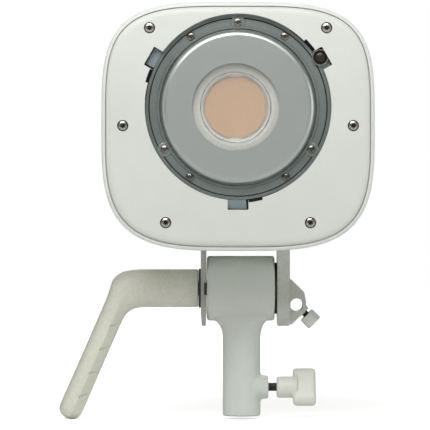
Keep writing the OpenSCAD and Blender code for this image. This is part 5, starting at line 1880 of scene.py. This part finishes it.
@dataclass(frozen=True)
class Internals:
    """The CAD nodes that stay as they are, each dressed in its own finish."""

    dress: tuple[tuple[str, str], ...] = (
        ("source_board", "BOARD_METAL"), ("front_frame", "FRAME_ALLOY"),
        ("heat_spreader", "COPPER"), ("heat_pipes", "COPPER"), ("heatsink", "SINK"), ("fan_frame", "BLACK"),
        ("fan_bearing", "BRASS"), ("fan_rotor", "BLACK"), ("power_board", "BOARD"), ("power_parts", "PARTS"),
        ("control_board", "BOARD"), ("control_switches", "PARTS"), ("yoke_base", "FRAME_ALLOY"),
        ("yoke_screws", "STEEL"), ("tilt_nut", "STEEL"), ("tilt_bolt", "STEEL"), ("clamp_pad", "BRASS"),
        ("umbrella_tip", "BLACK_STEEL"),
    )

    def build(self, finishes: dict[str, Finish]) -> None:
        """Gives each node its finish."""
        for node, finish in self.dress:
            obj = frame["nodes"][node]
            obj.data.materials.clear()
            obj.data.materials.append(finishes[finish].material())
            log.info("%s: CAD node dressed in %s", node, finishes[finish].name)


# Stage -----------------------------------------------------------------------------------------------


@dataclass(frozen=True)
class Softbox:
    """A rectangular light: where it stands, what it faces, its size and its power."""

    name: str
    place: tuple[float, float, float]
    target: tuple[float, float, float]
    width: float
    height: float
    watts: float
    tint: Colour = (1.0, 1.0, 1.0)

    def build(self) -> None:
        """Puts the light in the scene."""
        data = bpy.data.lights.new(self.name, "AREA")
        data.shape, data.size, data.size_y = "RECTANGLE", self.width, self.height
        data.energy, data.color = self.watts, self.tint
        light = bpy.data.objects.new(self.name, data)
        light.location = self.place
        light.rotation_euler = (Vector(self.target) - Vector(self.place)).to_track_quat("-Z", "Y").to_euler()
        light.visible_camera = False
        bpy.context.scene.collection.objects.link(light)


@dataclass(frozen=True)
class Studio:
    """A pale floor that fades into a white surround, soft lights and the camera."""

    floor_radius: float = 4.0
    floor_height: float = -0.002
    glow_from: float = 0.25
    glow_to: float = 1.3
    camera_place: tuple[float, float, float] = (-0.0179, -2.485, 0.1351)
    lens: float = 309.0
    lights: tuple[Softbox, ...] = (
        Softbox("key", (-0.03, -0.19, 0.35), (-0.01, -0.085, 0.23), 0.4, 0.1, 0.1),
        Softbox("front_fill", (-0.3, -1.75, 1.5), (0.0, 0.0, 0.1), 1.3, 0.9, 24.0),
        Softbox("low_fill", (0.1, -2.2, 0.1), (0.0, 0.0, 0.08), 1.2, 0.5, 0.4),
        Softbox("left_side", (-1.3, -0.5, 0.35), (0.0, 0.0, 0.1), 0.9, 1.0, 1.2),
        Softbox("right_side", (1.3, -0.7, 0.3), (0.03, 0.0, 0.08), 0.9, 0.8, 3.0),
        Softbox("rear", (0.3, 1.5, 0.9), (0.0, 0.0, 0.15), 1.2, 0.9, 8.0),
    )

    def floor(self) -> None:
        """The floor: pale with a faint mottle, brightening outwards into the surround."""
        bpy.ops.object.select_all(action="DESELECT")
        bpy.ops.mesh.primitive_circle_add(vertices=96, radius=self.floor_radius, fill_type="NGON",
                                          location=(0, 0, self.floor_height))
        floor = bpy.context.object
        floor.name = "studio_floor"
        tree = Tree("floor_paper")
        mottle = tree.blend(tree.noise(3.0, 3.0), (0.86, 0.86, 0.85), (0.9, 0.9, 0.89))
        tree.feed(tree.shader.inputs["Base Color"], mottle)
        tree.feed(tree.shader.inputs["Roughness"], tree.spread(tree.noise(40.0), 0, 1, 0.75, 0.9))
        radius = tree.add("VectorMath", {"Vector": tree.place}, operation="LENGTH").outputs["Value"]
        tree.shader.inputs["Emission Color"].default_value = (1.0, 1.0, 1.0, 1.0)
        seen = tree.add("LightPath").outputs["Is Camera Ray"]
        glow = tree.spread(radius, self.glow_from, self.glow_to, 0.6, 1.0)
        tree.feed(tree.shader.inputs["Emission Strength"], tree.sum(glow, seen, "MULTIPLY"))
        floor.data.materials.append(tree.material)
        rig.stage(floor)

    @staticmethod
    def surround() -> None:
        """White to the camera, and a soft grey gradient to everything else."""
        world = bpy.data.worlds.new("surround")
        bpy.context.scene.world = world
        world.use_nodes = True
        nodes, links = world.node_tree.nodes, world.node_tree.links
        nodes.clear()
        path = nodes.new("ShaderNodeLightPath")
        coord = nodes.new("ShaderNodeTexCoord")
        apart = nodes.new("ShaderNodeSeparateXYZ")
        ramp = nodes.new("ShaderNodeMapRange")
        soft, white = nodes.new("ShaderNodeBackground"), nodes.new("ShaderNodeBackground")
        mix, output = nodes.new("ShaderNodeMixShader"), nodes.new("ShaderNodeOutputWorld")
        links.new(coord.outputs["Generated"], apart.inputs[0])
        links.new(apart.outputs["Z"], ramp.inputs["Value"])
        for socket, value in (("From Min", -0.6), ("From Max", 0.8), ("To Min", 0.05), ("To Max", 0.15)):
            ramp.inputs[socket].default_value = value
        links.new(ramp.outputs[0], soft.inputs["Strength"])
        soft.inputs["Color"].default_value = (1.0, 1.0, 1.0, 1.0)
        white.inputs["Color"].default_value = (1.0, 1.0, 1.0, 1.0)
        links.new(path.outputs["Is Camera Ray"], mix.inputs[0])
        links.new(soft.outputs[0], mix.inputs[1])
        links.new(white.outputs[0], mix.inputs[2])
        links.new(mix.outputs[0], output.inputs[0])

    def camera(self) -> None:
        """The camera, level and square to the head."""
        data = bpy.data.cameras.new("camera")
        data.sensor_width, data.lens = 36.0, self.lens
        data.clip_end = 50.0
        camera = bpy.data.objects.new("camera", data)
        camera.location = self.camera_place
        camera.rotation_euler = (math.pi / 2, 0, 0)
        bpy.context.scene.collection.objects.link(camera)
        bpy.context.scene.camera = camera

    def build(self) -> None:
        """Sets the stage."""
        self.floor()
        self.surround()
        for light in self.lights:
            light.build()
        self.camera()
        bpy.context.scene.view_settings.view_transform = "Standard"


def main() -> None:
    """Builds every sub-assembly in turn, then the stage, and writes the two sizes."""
    finishes = {name: value for name, value in globals().items() if isinstance(value, Finish)}
    for part in (Case(), Bayonet(), LightSource(), Yoke(), UmbrellaScrew(), Receiver(), Handle(),
                 RearControls()):
        log.info("building %s", type(part).__name__)
        part.build()
    Internals().build(finishes)
    Studio().build()
    made_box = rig.bounds()
    with open("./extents.json", "w", encoding="utf-8") as file:
        json.dump({"cad": [list(corner) for corner in CAD_BOX],
                   "visual": [list(corner) for corner in made_box]}, file)


if __name__ == "__main__":
    logging.basicConfig(level=logging.INFO, format="%(message)s")
    main()
